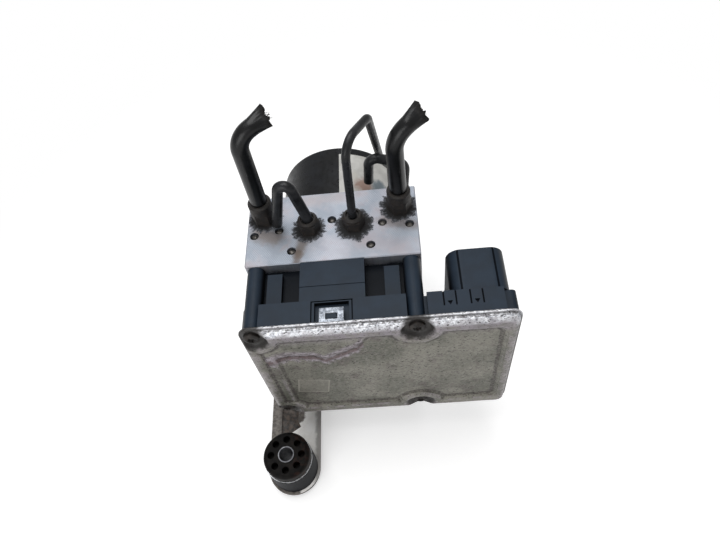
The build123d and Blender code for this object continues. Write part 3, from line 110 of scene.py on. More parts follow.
def patches(tree, where, size, steps, detail=4.0, rough=0.55):
    """Patches of about size millimetres: noise through a smooth step."""
    return ramp(tree, grain(tree, where, size, detail, rough), *steps)


def blend(tree, factor, first, second):
    """Colour between two, each an sRGB hex value or a link."""
    first, second = (srgb(colour) if isinstance(colour, str) else colour for colour in (first, second))
    made = add(tree, "ShaderNodeMix", {0: factor, 6: first, 7: second}, data_type="RGBA")
    return made.outputs[2]


def mottle(tree, where, size, low, high, first, second, detail=4.0, rough=0.55):
    """Two colours in patches of about size millimetres."""
    return blend(tree, patches(tree, where, size, (low, high), detail, rough), first, second)


def maths(tree, kind, *values):
    """One math node and its result."""
    return add(tree, "ShaderNodeMath", dict(enumerate(values)), operation=kind).outputs[0]


def times(tree, first, second):
    """Product of two values."""
    return maths(tree, "MULTIPLY", first, second)


def vectors(tree, kind, *values):
    """One vector math node and its result, a vector or a value."""
    made = add(tree, "ShaderNodeVectorMath", dict(enumerate(values)), operation=kind)
    return made.outputs["Value" if kind in ("LENGTH", "DISTANCE", "DOT_PRODUCT") else "Vector"]


def axes(tree, vector):
    """The X, Y and Z of a vector."""
    return add(tree, "ShaderNodeSeparateXYZ", {0: vector}).outputs


def relief(tree, shader, height, depth):
    """Bump of a real depth in millimetres."""
    made = add(tree, "ShaderNodeBump", {"Height": height, "Distance": depth * MM, "Strength": 1.0})
    feed(tree, shader, {"Normal": made.outputs[0]})


def coat(tree, shader, colour, roughness, metallic=0.0, specular=0.5):
    """Gives the shader its colour and how rough, metallic and shiny it is."""
    looks = {"Base Color": colour, "Roughness": roughness, "Metallic": metallic}
    feed(tree, shader, looks | {"Specular IOR Level": specular})


def mapped(tree, where, **settings):
    """Coordinates moved, turned or stretched."""
    inputs = {"Vector": where} | {key.title(): value for key, value in settings.items()}
    return add(tree, "ShaderNodeMapping", inputs).outputs[0]


def attribute(tree, name):
    """A value kept at each vertex."""
    return add(tree, "ShaderNodeAttribute", attribute_name=name).outputs["Fac"]


def dress(material, *names):
    """Gives CAD nodes a finish through their material slots."""
    for name in names:
        mesh = cad[name].data
        if not mesh.materials:
            mesh.materials.append(material)
        for place in range(len(mesh.materials)):
            mesh.materials[place] = material
    print(material.name, "on", ", ".join(names))


def put(name, data):
    """An object at the origin, in the scene."""
    made = bpy.data.objects.new(name, data)
    bpy.context.scene.collection.objects.link(made)
    return made


def smoothed(mesh):
    """Shades a mesh smooth."""
    for polygon in mesh.polygons:
        polygon.use_smooth = True

# %% [markdown]
# ## Places that several finishes share
# The ports of the block and the screws of the cover, in millimetres, as in the CAD model.

# %% Shared places
PORTS = [(5.5, 106.5), (85.0, 107.0), (32.0, 96.0), (58.5, 96.5)]
CRUSTS = [10.2, 10.8, 9.6, 11.2]  # radius of the crust round each port
SCREWS = [(1.3, 45.0), (1.3, 143.0), (89.7, 45.0), (89.7, 143.0)]
BLOCK_TOP = 149.0
COVER_MIDDLE = (69.5, 94.0)
CLUMPS = 7.0  # how far clumps make a crust uneven
SPIKES = 8.0  # reach of its spikes
SEAT_Y = 31.0

# %% [markdown]
# ## Milled aluminium
# The block is bare extruded aluminium. Its top is face milled: the cutter leaves fine arcs that
# cross. Bare aluminium greys in the air, and where the zinc of the steel nuts has gone, a dark
# crust creeps out round each nut in short spikes. Brake fluid has left brown and grey runs there.

# %% Masks on the block's top
def from_edge(tree, where, centre, radius, seed):
    """Distance outside a disc on the block's top whose edge runs out in spikes."""
    offset = vectors(tree, "SUBTRACT", where, centre + (BLOCK_TOP,))
    shifted = vectors(tree, "ADD", vectors(tree, "NORMALIZE", offset), (seed, seed, 0))
    rays = grain(tree, shifted, 0.3125, 4.0, 0.65)
    edge = maths(tree, "MULTIPLY_ADD", rays, SPIKES, vectors(tree, "LENGTH", offset))
    clumps = maths(tree, "MULTIPLY_ADD", grain(tree, where, 1.5, 4.0, 0.7), CLUMPS, edge)
    return maths(tree, "SUBTRACT", clumps, radius + (SPIKES + CLUMPS) / 2)


def from_line(tree, where, start, end, width):
    """Distance from a line on the block's top, made uneven by a noise."""
    along = Vector(end) - Vector(start)
    offset = vectors(tree, "SUBTRACT", where, start + (BLOCK_TOP,))
    share = vectors(tree, "DOT_PRODUCT", offset, tuple(along / along.length_squared) + (0,))
    held = add(tree, "ShaderNodeClamp", {"Value": share}).outputs[0]
    whole = tuple(along) + (0,)
    foot = add(tree, "ShaderNodeVectorMath", {0: whole, "Scale": held}, operation="SCALE")
    gap = vectors(tree, "DISTANCE", offset, foot.outputs[0])
    return maths(tree, "MULTIPLY_ADD", grain(tree, where, 2.5), width, gap)


# %% Milled aluminium of the block
CUTTER_ARCS = (((-70.0, 20.0, 0.0), 0.16), ((150.0, -10.0, 0.0), 0.22))  # middle, strength
FLUID_RUNS = (  # start, end, width, faint at, full at, colour, strength
    ((3.0, 95.0), (12.0, 91.5), 5.0, 11.0, 4.0, "#7d736d", 0.75),
    ((29.5, 90.0), (26.5, 79.0), 3.0, 6.5, 2.5, "#6e655f", 0.8),
    ((26.0, 80.0), (25.2, 70.0), 2.6, 5.0, 2.0, "#665b54", 0.8),
    ((76.0, 98.0), (92.0, 93.0), 3.5, 8.0, 3.0, "#746963", 0.6),
    ((28.0, 117.0), (50.0, 118.5), 4.0, 8.0, 3.0, "#a69c9b", 0.45),
    ((64.0, 84.0), (84.0, 78.0), 7.0, 13.0, 5.0, "#a39b9f", 0.5),
)
milled, tree, shader, mm = new_material("milled_aluminium")
parts = axes(tree, mm)
on_top = ramp(tree, parts["Z"], BLOCK_TOP - 0.5, BLOCK_TOP - 0.2)
fine = grain(tree, mm, 0.8, 6.0, 0.7)
tone = mottle(tree, mm, 18.0, 0.4, 0.62, "#9299a3", "#a2a3ab", 3.0)
warm = patches(tree, mm, 9.0, (0.52, 0.72, 0.0, 0.5), 4.0, 0.6)
tone = blend(tree, warm, tone, "#9c9193")
for centre, strength in CUTTER_ARCS:
    moved = vectors(tree, "SUBTRACT", mm, centre)
    arcs = add(
        tree,
        "ShaderNodeTexWave",
        {"Vector": moved, "Scale": 0.31, "Distortion": 1.6, "Detail": 3.0, "Detail Scale": 0.5},
        wave_type="RINGS",
        rings_direction="Z",
    )
    cut = times(tree, ramp(tree, arcs.outputs["Fac"], 0.3, 0.9, 0.0, strength), on_top)
    cut = times(tree, cut, patches(tree, mm, 14.0, (0.4, 0.6, 0.15, 1.0), 3.0))
    tone = blend(tree, cut, tone, "#c9d0dc")
drawn = mapped(tree, mm, scale=(1.2, 1.2, 0.04))
lines = patches(tree, drawn, 1.5, (0.45, 0.65, 0.0, 0.35), 3.0)
tone = blend(tree, times(tree, lines, ramp(tree, on_top, 1.0, 0.0)), tone, "#7b8088")
tone = blend(tree, ramp(tree, fine, 0.60, 0.72, 0.0, 0.6), tone, "#6b6d75")
tone = blend(tree, ramp(tree, fine, 0.40, 0.30, 0.0, 0.5), tone, "#c6ccd6")
for start, end, width, low, high, colour, strength in FLUID_RUNS:
    run = ramp(tree, from_line(tree, mm, start, end, width), low, high, 0.0, strength)
    tone = blend(tree, times(tree, run, on_top), tone, colour)
outside = None
for number, (port, radius) in enumerate(zip(PORTS, CRUSTS)):
    edge = from_edge(tree, mm, port, radius, 3.0 * number)
    outside = edge if outside is None else maths(tree, "MINIMUM", outside, edge)
crust = times(tree, ramp(tree, outside, 0.6, -0.5), on_top)
burnt = ramp(tree, outside, -0.8, -2.6)
pale_crust = mottle(tree, mm, 1.0, 0.4, 0.65, "#35373b", "#64666c", 5.0, 0.75)
tone = blend(tree, crust, tone, blend(tree, burnt, pale_crust, "#1b1b1c"))
coat(tree, shader, tone, ramp(tree, crust, 0.0, 1.0, 0.5, 0.9), ramp(tree, crust, 0.0, 1.0, 0.8, 0.05))
relief(tree, shader, maths(tree, "ADD", fine, crust), 0.12)
dress(milled, "hydraulic_block")

# %% [markdown]
# ## Moulded plastic
# The control unit's housing is glass-filled nylon, black. Its faces that look up are painted lighter and
# bluish, partly dust and partly a painted sheen of the light from above, and its low parts and the floors of
# its snap grooves are painted in shade. The fibres leave the skin a little rough.

# %% Black moulded housing
DUST_AND_SHADE_HEIGHTS = (142.0, 146.0)  # dust and painted sheen grow between these heights; below them the housing is painted in shade
SHADED_GROOVE_FLOORS = ((147.95, 148.1), (148.33, 148.25))  # floors of the snap grooves, kept dark as painted shade
moulded, tree, shader, mm = new_material("moulded_black_nylon")
surface = add(tree, "ShaderNodeTexCoord")
facing = axes(tree, surface.outputs["Normal"])
parts = axes(tree, mm)
facing_up = ramp(tree, facing["Z"], 0.3, 0.95)
dust_and_painted_light = times(tree, facing_up, patches(tree, mm, 9.0, (0.3, 0.7, 0.75, 1.0)))
dust_and_painted_light = times(tree, dust_and_painted_light, ramp(tree, parts["Z"], *DUST_AND_SHADE_HEIGHTS, 0.15, 1.0))
above, below = (ramp(tree, parts["Z"], *heights) for heights in SHADED_GROOVE_FLOORS)
clear = ramp(tree, times(tree, above, below), 0.0, 1.0, 1.0, 0.1)
dust_and_painted_light = times(tree, dust_and_painted_light, clear)
# Dust and painted sheen make the up-facing faces bluish grey; painted shade keeps the low parts and the
# groove floors near black.
tone = blend(tree, dust_and_painted_light, "#0a0b0e", "#1e2a37")
fibres = patches(tree, mm, 1.1, (0.68, 0.76, 0.0, 0.3), 5.0, 0.7)
tone = blend(tree, fibres, tone, "#4a525b")
sheen = times(tree, ramp(tree, parts["Z"], *DUST_AND_SHADE_HEIGHTS, 0.07, 0.2), clear)
coat(tree, shader, tone, ramp(tree, dust_and_painted_light, 0.0, 1.0, 0.38, 0.5), specular=sheen)
relief(tree, shader, grain(tree, mm, 0.5, 3.0), 0.03)
dress(moulded, "ecu_housing")

# %% [markdown]
# ## Pressed cover
# The cover is a shallow alloy pan with a rounded shoulder all round, a sunk field in two levels,
# a raised corner and a dimple at each screw. It could be cut with booleans, but pressed metal
# flows: here rings of the outline carry the shoulder, a fine grid carries the rest, and each
# vertex takes its depth from distances to the shapes in the die.

# %% The die: depth of the cover at a place
COVER_HALF = (74.9, 57.0)
COVER_CORNER = 7.0
COVER_FRONT = 27.0
FIELD = (4.2, 135.8, 48.5, 139.5)  # left, right, bottom, top of the sunk field
FIELD_STEP = 1.0
FLAT_ROUND = (13.4, 14.6)  # round each screw the two levels keep this far away
DIMPLE = (9.9, 6.2)  # radius of a dimple's brim and of its seat
LIP_RISE, LIP_AT, LIP_WIDTH = 0.25, 11.4, 1.6  # ring that stands up round a dimple
PLATEAU = [(-2.0, 119.0), (5.8, 119.9), (17.5, 124.4), (31.7, 122.2),
           (37.1, 117.5), (55.9, 129.5), (63.5, 141.2)]  # lower edge of the raised corner


def smooth(value, low, high):
    t = np.clip((value - low) / (high - low), 0, 1)
    return t * t * (3 - 2 * t)


def box_distance(x, z, left, right, bottom, top, corner):
    """Distance to a rounded rectangle, negative inside."""
    dx = np.abs(x - (left + right) / 2) - (right - left) / 2 + corner
    dz = np.abs(z - (bottom + top) / 2) - (top - bottom) / 2 + corner
    outside = np.hypot(np.maximum(dx, 0), np.maximum(dz, 0))
    return outside + np.minimum(np.maximum(dx, dz), 0) - corner


def line_height(x, points):
    xs, zs = zip(*points)
    return np.interp(x, xs, zs)


def die_depth(x, z):
    """How far the surface lies behind the front plane, in millimetres."""
    left, right, bottom, top = FIELD
    near = np.full_like(x, 1e9)
    for sx, sz in SCREWS:
        near = np.minimum(near, np.hypot(x - sx, z - sz))
    outer = box_distance(x, z, left - 2, right + 2, bottom - 1, top + 1, 6.0)
    inner = box_distance(x, z, left + 5, right, bottom + 1, top - 1, 5.0)
    outer, inner = (np.maximum(level, flat - near) for level, flat in zip((outer, inner), FLAT_ROUND))
    above = z - line_height(x, PLATEAU)
    plateau = smooth(above, -4.0, 1.6) * smooth(x, 68.0, 58.0)
    depth = FIELD_STEP * smooth(outer, 1.6, -1.6)
    depth = depth + FIELD_STEP * smooth(inner, 1.4, -1.6) * (1 - plateau)
    for sx, sz in SCREWS:
        away = np.hypot(x - sx, z - sz)
        depth = np.maximum(depth, (SEAT_Y - COVER_FRONT) * smooth(away, *DIMPLE))
        depth = depth - LIP_RISE * np.exp(-((away - LIP_AT) / LIP_WIDTH) ** 2)
    return depth


print("depth in the field's middle", float(die_depth(np.array([80.0]), np.array([90.0]))[0]))

# %% Rings and grid of the cover
FLANGE = [(5.0, 32.5), (0.3, 32.5), (0.0, 32.2), (0.0, 31.4),
          (0.15, 31.05), (0.5, 30.9), (0.95, 30.85), (1.15, 30.5)]  # inset and Y of each ring
SHOULDER = 3.7
SHOULDER_STEPS = 7
GRID_STEP = 0.62
WAVES = 0.10  # how far the pressed sheet is uneven


def cover_lines():
    """Insets and depths of the rings, from the back face over the shoulder to the front plane."""
    rings = list(FLANGE)
    for step in range(1, SHOULDER_STEPS + 1):
        angle = math.radians(90 * step / SHOULDER_STEPS)
        rings.append((1.15 + SHOULDER * (1 - math.cos(angle)), 30.7 - SHOULDER * math.sin(angle)))
    while rings[-1][0] < COVER_CORNER:
        rings.append((min(rings[-1][0] + GRID_STEP, COVER_CORNER), COVER_FRONT))
    return rings


rings = cover_lines()
corner_lines = len(rings) - 1
columns = int(2 * (COVER_HALF[0] - COVER_CORNER) / GRID_STEP)
rows = int(2 * (COVER_HALF[1] - COVER_CORNER) / GRID_STEP)
across = columns + 2 * corner_lines + 1
upward = rows + 2 * corner_lines + 1


def flat_place(line, count, half):
    """Where a grid line lies between the corners."""
    return (line - corner_lines) / count * 2 * (half - COVER_CORNER) - half + COVER_CORNER


def cover_points():
    """Places of the grid's vertices: x, y, z arrays of the pressed sheet."""
    half_x, half_z = COVER_HALF
    xs, ys, zs = (np.zeros((across, upward)) for _ in range(3))
    for i in range(across):
        for j in range(upward):
            di, dj = min(i, across - 1 - i), min(j, upward - 1 - j)
            sign_x, sign_z = (-1 if i < across / 2 else 1), (-1 if j < upward / 2 else 1)
            ring = min(di, dj)
            inset, y = rings[min(ring, corner_lines)]
            if di < corner_lines and dj < corner_lines:
                share = 45 * (max(di, dj) - ring) / (corner_lines - ring)
                angle = math.radians(45 + share if di > dj else 45 - share)
                radius = COVER_CORNER - inset
                x = sign_x * (half_x - COVER_CORNER + radius * math.cos(angle))
                z = sign_z * (half_z - COVER_CORNER + radius * math.sin(angle))
            else:
                x = sign_x * (half_x - inset) if di < corner_lines else flat_place(i, columns, half_x)
                z = sign_z * (half_z - inset) if dj < corner_lines else flat_place(j, rows, half_z)
            xs[i, j], ys[i, j], zs[i, j] = x + COVER_MIDDLE[0], y, z + COVER_MIDDLE[1]
    return xs, ys, zs


xs, ys, zs = cover_points()
pressed = np.maximum(ys, COVER_FRONT + die_depth(xs, zs))
front = ys < FLANGE[-1][1] + 0.3
ys = np.where(front, pressed, ys)
for i in range(across):
    for j in range(upward):
        if front[i, j]:
            ys[i, j] += WAVES * noise.noise(Vector((xs[i, j] / 17, 3.1, zs[i, j] / 13)))
print("cover grid", across, "by", upward)

# %% Mesh of the cover, with the bend of each place kept as an attribute
BEND_SCALE = 100  # lets the bends of a fine grid read as about 1


def sheet_mesh(name, xs, ys, zs):
    """A sheet of quads through a grid of places in millimetres."""
    nx, nz = xs.shape
    points = np.stack([xs, ys, zs], axis=-1).reshape(-1, 3) * MM
    index = np.arange(nx * nz).reshape(nx, nz)
    quads = np.stack([index[:-1, :-1], index[1:, :-1], index[1:, 1:], index[:-1, 1:]], axis=-1)
    mesh = bpy.data.meshes.new(name)
    mesh.from_pydata(points.tolist(), [], quads.reshape(-1, 4).tolist())
    return mesh


cover_mesh = sheet_mesh("ecu_cover_pressed", xs, ys, zs)
around = (np.roll(ys, 1, 0) + np.roll(ys, -1, 0) + np.roll(ys, 1, 1) + np.roll(ys, -1, 1)) / 4 - ys
around[[0, -1], :] = 0
around[:, [0, -1]] = 0
for _ in range(3):
    widened = around * 2 + np.roll(around, 1, 0) + np.roll(around, -1, 0)
    around = (widened + np.roll(around, 1, 1) + np.roll(around, -1, 1)) / 6
sides = [middle + way * half for middle, half in zip(COVER_MIDDLE, COVER_HALF) for way in (-1, 1)]
inset = -box_distance(xs, zs, *sides, COVER_CORNER)
ledge = np.where((xs > 3.0) & (xs < 60.0), zs - line_height(xs, PLATEAU), 99.0)
for name, values in (("bend", around * BEND_SCALE), ("inset", inset), ("ledge", ledge)):
    kept = cover_mesh.attributes.new(name, "FLOAT", "POINT")
    kept.data.foreach_set("value", values.reshape(-1).astype(np.float32))
shell = bmesh.new()
shell.from_mesh(cover_mesh)
open_edges = [edge for edge in shell.edges if edge.is_boundary]
bmesh.ops.contextual_create(shell, geom=open_edges)
bmesh.ops.recalc_face_normals(shell, faces=shell.faces)
for face in shell.faces:
    face.smooth = True
shell.to_mesh(cover_mesh)
shell.free()
cover = put("ecu_cover_pressed", cover_mesh)
print("cover faces", len(cover_mesh.polygons), "bend", float(around.min()), float(around.max()))

# %% [markdown]
# ## Snap tab
# A strip of the same sheet runs back over the housing and catches a nub in its window. It is
# built as a frame of four bars that share their corners, then bevelled like a sheared edge.

# %% Snap tab with its window
TAB = dict(left=38.6, right=51.9, front=31.6, back=41.5, top=150.2, sheet=1.5)
WINDOW = dict(left=42.05, right=48.45, front=34.7, back=38.1)
SHEARED = 0.35  # rounding of the tab's edges


def corners_of(box):
    """Corners in order round the box, seen from above."""
    left, right, front, back = (box[side] for side in ("left", "right", "front", "back"))
    return [(left, front), (right, front), (right, back), (left, back)]


tab_mesh = bpy.data.meshes.new("snap_tab")
sheet = bmesh.new()
loops = []
for height in (TAB["top"] - TAB["sheet"], TAB["top"]):
    for box in (TAB, WINDOW):
        loops.append([sheet.verts.new((x * MM, y * MM, height * MM)) for x, y in corners_of(box)])
low_out, low_in, top_out, top_in = loops
for k in range(4):
    n = (k + 1) % 4
    sheet.faces.new((top_out[k], top_out[n], top_in[n], top_in[k]))
    sheet.faces.new((low_out[n], low_out[k], low_in[k], low_in[n]))
    sheet.faces.new((low_out[k], low_out[n], top_out[n], top_out[k]))
    sheet.faces.new((low_in[n], low_in[k], top_in[k], top_in[n]))
bmesh.ops.recalc_face_normals(sheet, faces=sheet.faces)
corners = [edge for edge in sheet.edges if edge.calc_face_angle(0) > 0.5]
bmesh.ops.bevel(sheet, geom=corners, offset=SHEARED * MM, segments=3, profile=0.5, affect="EDGES")
sheet.to_mesh(tab_mesh)
sheet.free()
tab = put("snap_tab", tab_mesh)
smoothed(tab_mesh)
print("snap tab faces", len(tab_mesh.polygons))

# %% [markdown]
# ## Weathered alloy
# Alloy that has lived under a bonnet: a dull greenish grey film with dark specks and lilac along the top.
# The rim is painted silver along the top, a painted highlight, and is darker and reddish along the bottom. A
# brown line in a lighter lilac band follows the step of the raised corner, the band a painted highlight
# where the step catches light; a square in the field has faded, and painted shade fills the dimples and the
# creases. Each vertex keeps how it bends and how far in it lies, so the marks follow the form.

# %% Weathered alloy of the cover
PALE_SQUARE = (24.4, 78.1)  # its middle
PALE_TURN = 9.6  # its turn in degrees
SEAM = ((30.45, 30.7), (31.35, 31.05))  # dark line between the pan and its flange
DIMPLE_SHADE_REACH = (13.4, 10.4)  # painted shade round a screw, in its dimple, from faint to full
weathered, tree, shader, mm = new_material("weathered_alloy")
bent, inset, ledge = (attribute(tree, name) for name in ("bend", "inset", "ledge"))
parts = axes(tree, mm)
film = mottle(tree, mm, 26.0, 0.38, 0.62, "#5d5d54", "#7a786f", 4.0)
spots = patches(tree, mm, 2.6, (0.46, 0.7, 0.0, 0.55), 6.0, 0.75)
film = blend(tree, spots, film, "#8b877e")
stains = patches(tree, mm, 11.0, (0.52, 0.68), 6.0, 0.7)
stains = times(tree, stains, patches(tree, mm, 1.2, (0.35, 0.6, 0.3, 0.8), 4.0, 0.7))
film = blend(tree, stains, film, "#544a49")
# The rim is painted silver along the top as a highlight where the light falls; down the sides it keeps a
# plain tone, and along the bottom it turns darker and reddish.
silver_highlight = mottle(tree, mm, 2.2, 0.36, 0.58, "#a5a8b0", "#f6f8fc", 6.0, 0.75)
side = mottle(tree, mm, 3.2, 0.4, 0.62, "#5f5c57", "#8d8987", 5.0, 0.7)
bottom_rim = mottle(tree, mm, 3.2, 0.42, 0.58, "#37242a", "#857a7f", 6.0, 0.7)
edges = blend(tree, ramp(tree, parts["Z"], 139.0, 147.0), side, silver_highlight)
edges = blend(tree, ramp(tree, parts["Z"], 47.0, 43.0), edges, bottom_rim)
lilac = ramp(tree, parts["Z"], 132.0, 144.0, 0.0, 0.75)
lilac = times(tree, lilac, patches(tree, mm, 5.0, (0.36, 0.6, 0.4, 1.0), 5.0, 0.7))
tone = blend(tree, lilac, film, "#8d868f")
tone = blend(tree, ramp(tree, inset, 6.0, 2.2), tone, edges)
# A lighter lilac band along the step of the raised corner is a painted highlight where the step catches
# light; a brown line runs in it.
rise = maths(tree, "MULTIPLY_ADD", grain(tree, mm, 3.0, 4.0, 0.65), 9.0, ledge)
step_highlight = mottle(tree, mm, 3.0, 0.42, 0.58, "#655c61", "#a49ca5", 5.0, 0.7)
for start, end, colour in (
    ((-6.5, -3.0, 0.0, 0.8), (10.0, 6.5), step_highlight),
    ((-3.2, -1.6, 0.0, 0.75), (2.4, 1.0), "#55403f"),
):
    tone = blend(tree, times(tree, ramp(tree, rise, *start), ramp(tree, rise, *end)), tone, colour)
worn = ramp(tree, bent, 0.35, 1.6, 0.0, 0.6)
worn = times(tree, worn, patches(tree, mm, 6.0, (0.38, 0.6), 5.0, 0.7))
tone = blend(tree, worn, tone, "#948d91")
# Concave bends are painted darker: painted shade in the creases.
sunk = ramp(tree, bent, -0.2, -1.2, 0.0, 0.8)
sunk = times(tree, sunk, patches(tree, mm, 2.4, (0.34, 0.58), 5.0, 0.75))
tone = blend(tree, sunk, tone, "#383030")
flecks = mapped(tree, mm, rotation=(0, 0.6, 0), scale=(0.5, 1.0, 1.0))
specks = patches(tree, flecks, 0.75, (0.585, 0.64), 3.0, 0.6)
tone = blend(tree, specks, tone, "#241f1d")
moved = mapped(tree, mm, location=(-PALE_SQUARE[0], 0, -PALE_SQUARE[1]))
turned = mapped(tree, moved, rotation=(0, math.radians(-PALE_TURN), 0))
sides = axes(tree, vectors(tree, "ABSOLUTE", turned))
faded = times(tree, ramp(tree, sides["X"], 10.0, 9.3, 0.0, 0.7), ramp(tree, sides["Z"], 9.6, 8.9))
middle = times(tree, ramp(tree, sides["X"], 9.2, 8.5), ramp(tree, sides["Z"], 8.8, 8.1))
tone = blend(tree, times(tree, faded, ramp(tree, middle, 0.0, 1.0, 1.0, 0.35)), tone, "#9c988f")
seam = times(tree, *(ramp(tree, parts["Y"], *edge) for edge in SEAM))
tone = blend(tree, times(tree, seam, 0.55), tone, "#2c2a29")
# Each dimple is filled with near-black painted shade.
dimple_shade = None
for sx, sz in SCREWS:
    away = vectors(tree, "DISTANCE", mm, (sx, SEAT_Y, sz))
    uneven = maths(tree, "MULTIPLY_ADD", grain(tree, mm, 3.0), 4.0, away)
    spot = ramp(tree, uneven, *DIMPLE_SHADE_REACH, 0.0, 0.97)
    dimple_shade = spot if dimple_shade is None else maths(tree, "MAXIMUM", dimple_shade, spot)
tone = blend(tree, dimple_shade, tone, blend(tree, grain(tree, mm, 2.0), "#0f0d0c", "#231d19"))
bare = ramp(tree, dimple_shade, 0.0, 1.0, 0.6, 0.0)
bare = times(tree, bare, ramp(tree, parts["Z"], 150.0, 150.9, 1.0, 0.4))
coat(tree, shader, tone, patches(tree, mm, 2.2, (0.3, 0.7, 0.40, 0.58)), bare)
relief(tree, shader, grain(tree, mm, 0.8, 5.0, 0.7), 0.10)

crinkled, tree, shader, mm = new_material("crinkled_alloy")
folds = grain(tree, mm, 2.4, 5.0, 0.7)
coat(tree, shader, blend(tree, ramp(tree, folds, 0.4, 0.6), "#7d838d", "#c3cad4"), 0.38, 0.8)
relief(tree, shader, folds, 0.8)
cover_mesh.materials.append(weathered)
tab_mesh.materials.append(crinkled)
for piece in (cover, tab):
    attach(piece, "unit")
    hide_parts("ecu_cover")
dress(weathered, "ecu_cover")

# %% [markdown]
# ## Rubber sleeves
# Two black rubber sleeves cover the outer pipes and were torn off with them. The tube follows the
# pipe; at its end the rubber is pressed flat, slightly flared and ragged: a noise that runs round
# the tube moves each vertex of the last rings along the pipe, and one side stands out further.

# %% A bent centre line with rounded corners
STATION = 1.2  # about how far apart its points are


def rounded(points, bends):
    """Points along a line whose corners are rounded."""
    points = [Vector(p) for p in points]
    line = [points[0]]
    for before, corner, after, radius in zip(points, points[1:], points[2:], bends):
        back, on = (before - corner).normalized(), (after - corner).normalized()
        half = back.angle(on) / 2
        reach = radius / math.tan(half)
        centre = corner + (back + on).normalized() * radius / math.sin(half)
        start, end = corner + back * reach - centre, corner + on * reach - centre
        turn = start.angle(end)
        for share in np.linspace(0, 1, max(3, int(turn * radius / STATION) + 2)):
            line.append(centre + start.slerp(end, share) * radius)
    line.append(points[-1])
    spaced = [line[0]]
    for first, second in zip(line, line[1:]):
        count = max(1, round((second - first).length / STATION))
        spaced += [first.lerp(second, k / count) for k in range(1, count + 1)]
    return spaced


SLEEVES = {  # corners of the centre line, radius of its bends
    "left": ([(5.5, 106.5, 165.0), (5.5, 106.5, 166.5), (5.3, 107.5, 212.7), (21.5, 115.5, 219.0)],
             (12.0, 12.0)),
    "right": ([(85.5, 106.5, 165.0), (85.5, 106.5, 166.5), (85.0, 106.5, 203.7), (100.0, 112.5, 215.0)],
              (12.0, 16.0)),
}
for side, (points, bends) in SLEEVES.items():
    line = rounded(points, bends)
    reach = sum((b - a).length for a, b in zip(line, line[1:]))
    print(side, "sleeve", len(line), "stations", round(reach, 1), "mm")

# %% Sleeve with a torn end
SLEEVE_RADIUS = 4.85
SLEEVE_BORE = 2.5
SEGMENTS = 56
PINCH = Vector((0.07, -0.745, 0.66))  # way the torn ends are pressed flat
LONG_SIDE = Vector((-0.75, 0.0, 0.66))  # way the longest shred stands out
FLATTENED, WIDENED = 0.7, 0.2  # how far the end gives way and spreads
RAGS = ((2.2, 1.0, 0), (6, 0.7, 5), (14, 0.5, 9))  # how fine the rags are, their height, noise shift
RAG_REACH, SHRED_REACH = 1.4, 0.9
LIP = 7  # stations before the end that the tear reaches
INNER = 11  # stations of the inner wall


def sleeve_mesh(name, points, bends, seed):
    """Tube round the line: outer wall, ragged lip, inner wall; torn keeps how near the tear is."""
    line = rounded(points, bends)
    count = len(line)
    along = (line[1] - line[0]).normalized()
    across = along.orthogonal().normalized()
    frames = []
    for k, point in enumerate(line):
        ahead = (line[min(k + 1, count - 1)] - line[max(k - 1, 0)]).normalized()
        across = (across - ahead * across.dot(ahead)).normalized()
        frames.append((point, ahead, across, ahead.cross(across)))
    body = bmesh.new()
    torn = body.verts.layers.float.new("torn")
    rings_made = []

    def ring(place, radius, tear, flare=0.0):
        point, ahead, first, second = frames[place]
        flat = (PINCH - ahead * PINCH.dot(ahead)).normalized()
        sideways = ahead.cross(flat)
        pressed_in = min(tear, 1.0)
        made = []
        for s in range(SEGMENTS):
            angle = 2 * math.pi * s / SEGMENTS
            cos, sin = math.cos(angle), math.sin(angle)
            rag = sum(
                height * noise.noise(Vector((size * cos, size * sin, seed + shift)))
                for size, height, shift in RAGS
            )
            spoke = first * cos + second * sin
            reach = tear ** 2 * (RAG_REACH * rag + SHRED_REACH * spoke.dot(LONG_SIDE))
            out = spoke * (radius + flare * (0.1 + 0.8 * rag))
            spread = sideways * out.dot(sideways) * WIDENED * pressed_in
            out += spread - flat * out.dot(flat) * FLATTENED * pressed_in
            spot = point + ahead * reach + out
            vertex = body.verts.new(spot * MM)
            vertex[torn] = tear
            made.append(vertex)
        rings_made.append(made)

    for k in range(count):
        tear = max(0.0, 1 - (count - 1 - k) / LIP)
        ring(k, SLEEVE_RADIUS, tear, 0.9 * tear ** 2)
    ring(count - 1, (SLEEVE_RADIUS + SLEEVE_BORE) / 2, 1.15, 0.7)
    for k in range(count - 1, count - 1 - INNER, -1):
        tear = max(0.0, 1 - (count - 1 - k) / LIP)
        ring(k, SLEEVE_BORE + 0.05, tear, 0.5 * tear ** 2)
    for first, second in zip(rings_made, rings_made[1:]):
        for s in range(SEGMENTS):
            n = (s + 1) % SEGMENTS
            body.faces.new((first[s], first[n], second[n], second[s]))
    body.faces.new(rings_made[0][::-1])
    body.faces.new(rings_made[-1])
    bmesh.ops.recalc_face_normals(body, faces=body.faces)
    for face in body.faces:
        face.smooth = True
    mesh = bpy.data.meshes.new(name)
    body.to_mesh(mesh)
    body.free()
    return mesh, frames[-1]


sleeves = {}
ends = {}
for side, seed in (("left", 2.0), ("right", 7.5)):
    mesh, ends[side] = sleeve_mesh("torn_sleeve_" + side, *SLEEVES[side], seed)
    sleeves[side] = put("torn_sleeve_" + side, mesh)
    print(side, "sleeve faces", len(mesh.polygons))

# %% [markdown]
# ## Frayed cords
# The sleeve's rubber is reinforced with textile cords, and a few stand out of the tear. They
# repeat round a ring, so a small geometry-nodes tree places them: a circle of points and a thin
# bent cord at each, tilted, turned and scaled by a fixed seed.

# %% Geometry nodes: cords round a torn end
FULL_TURN = 6.28  # radians


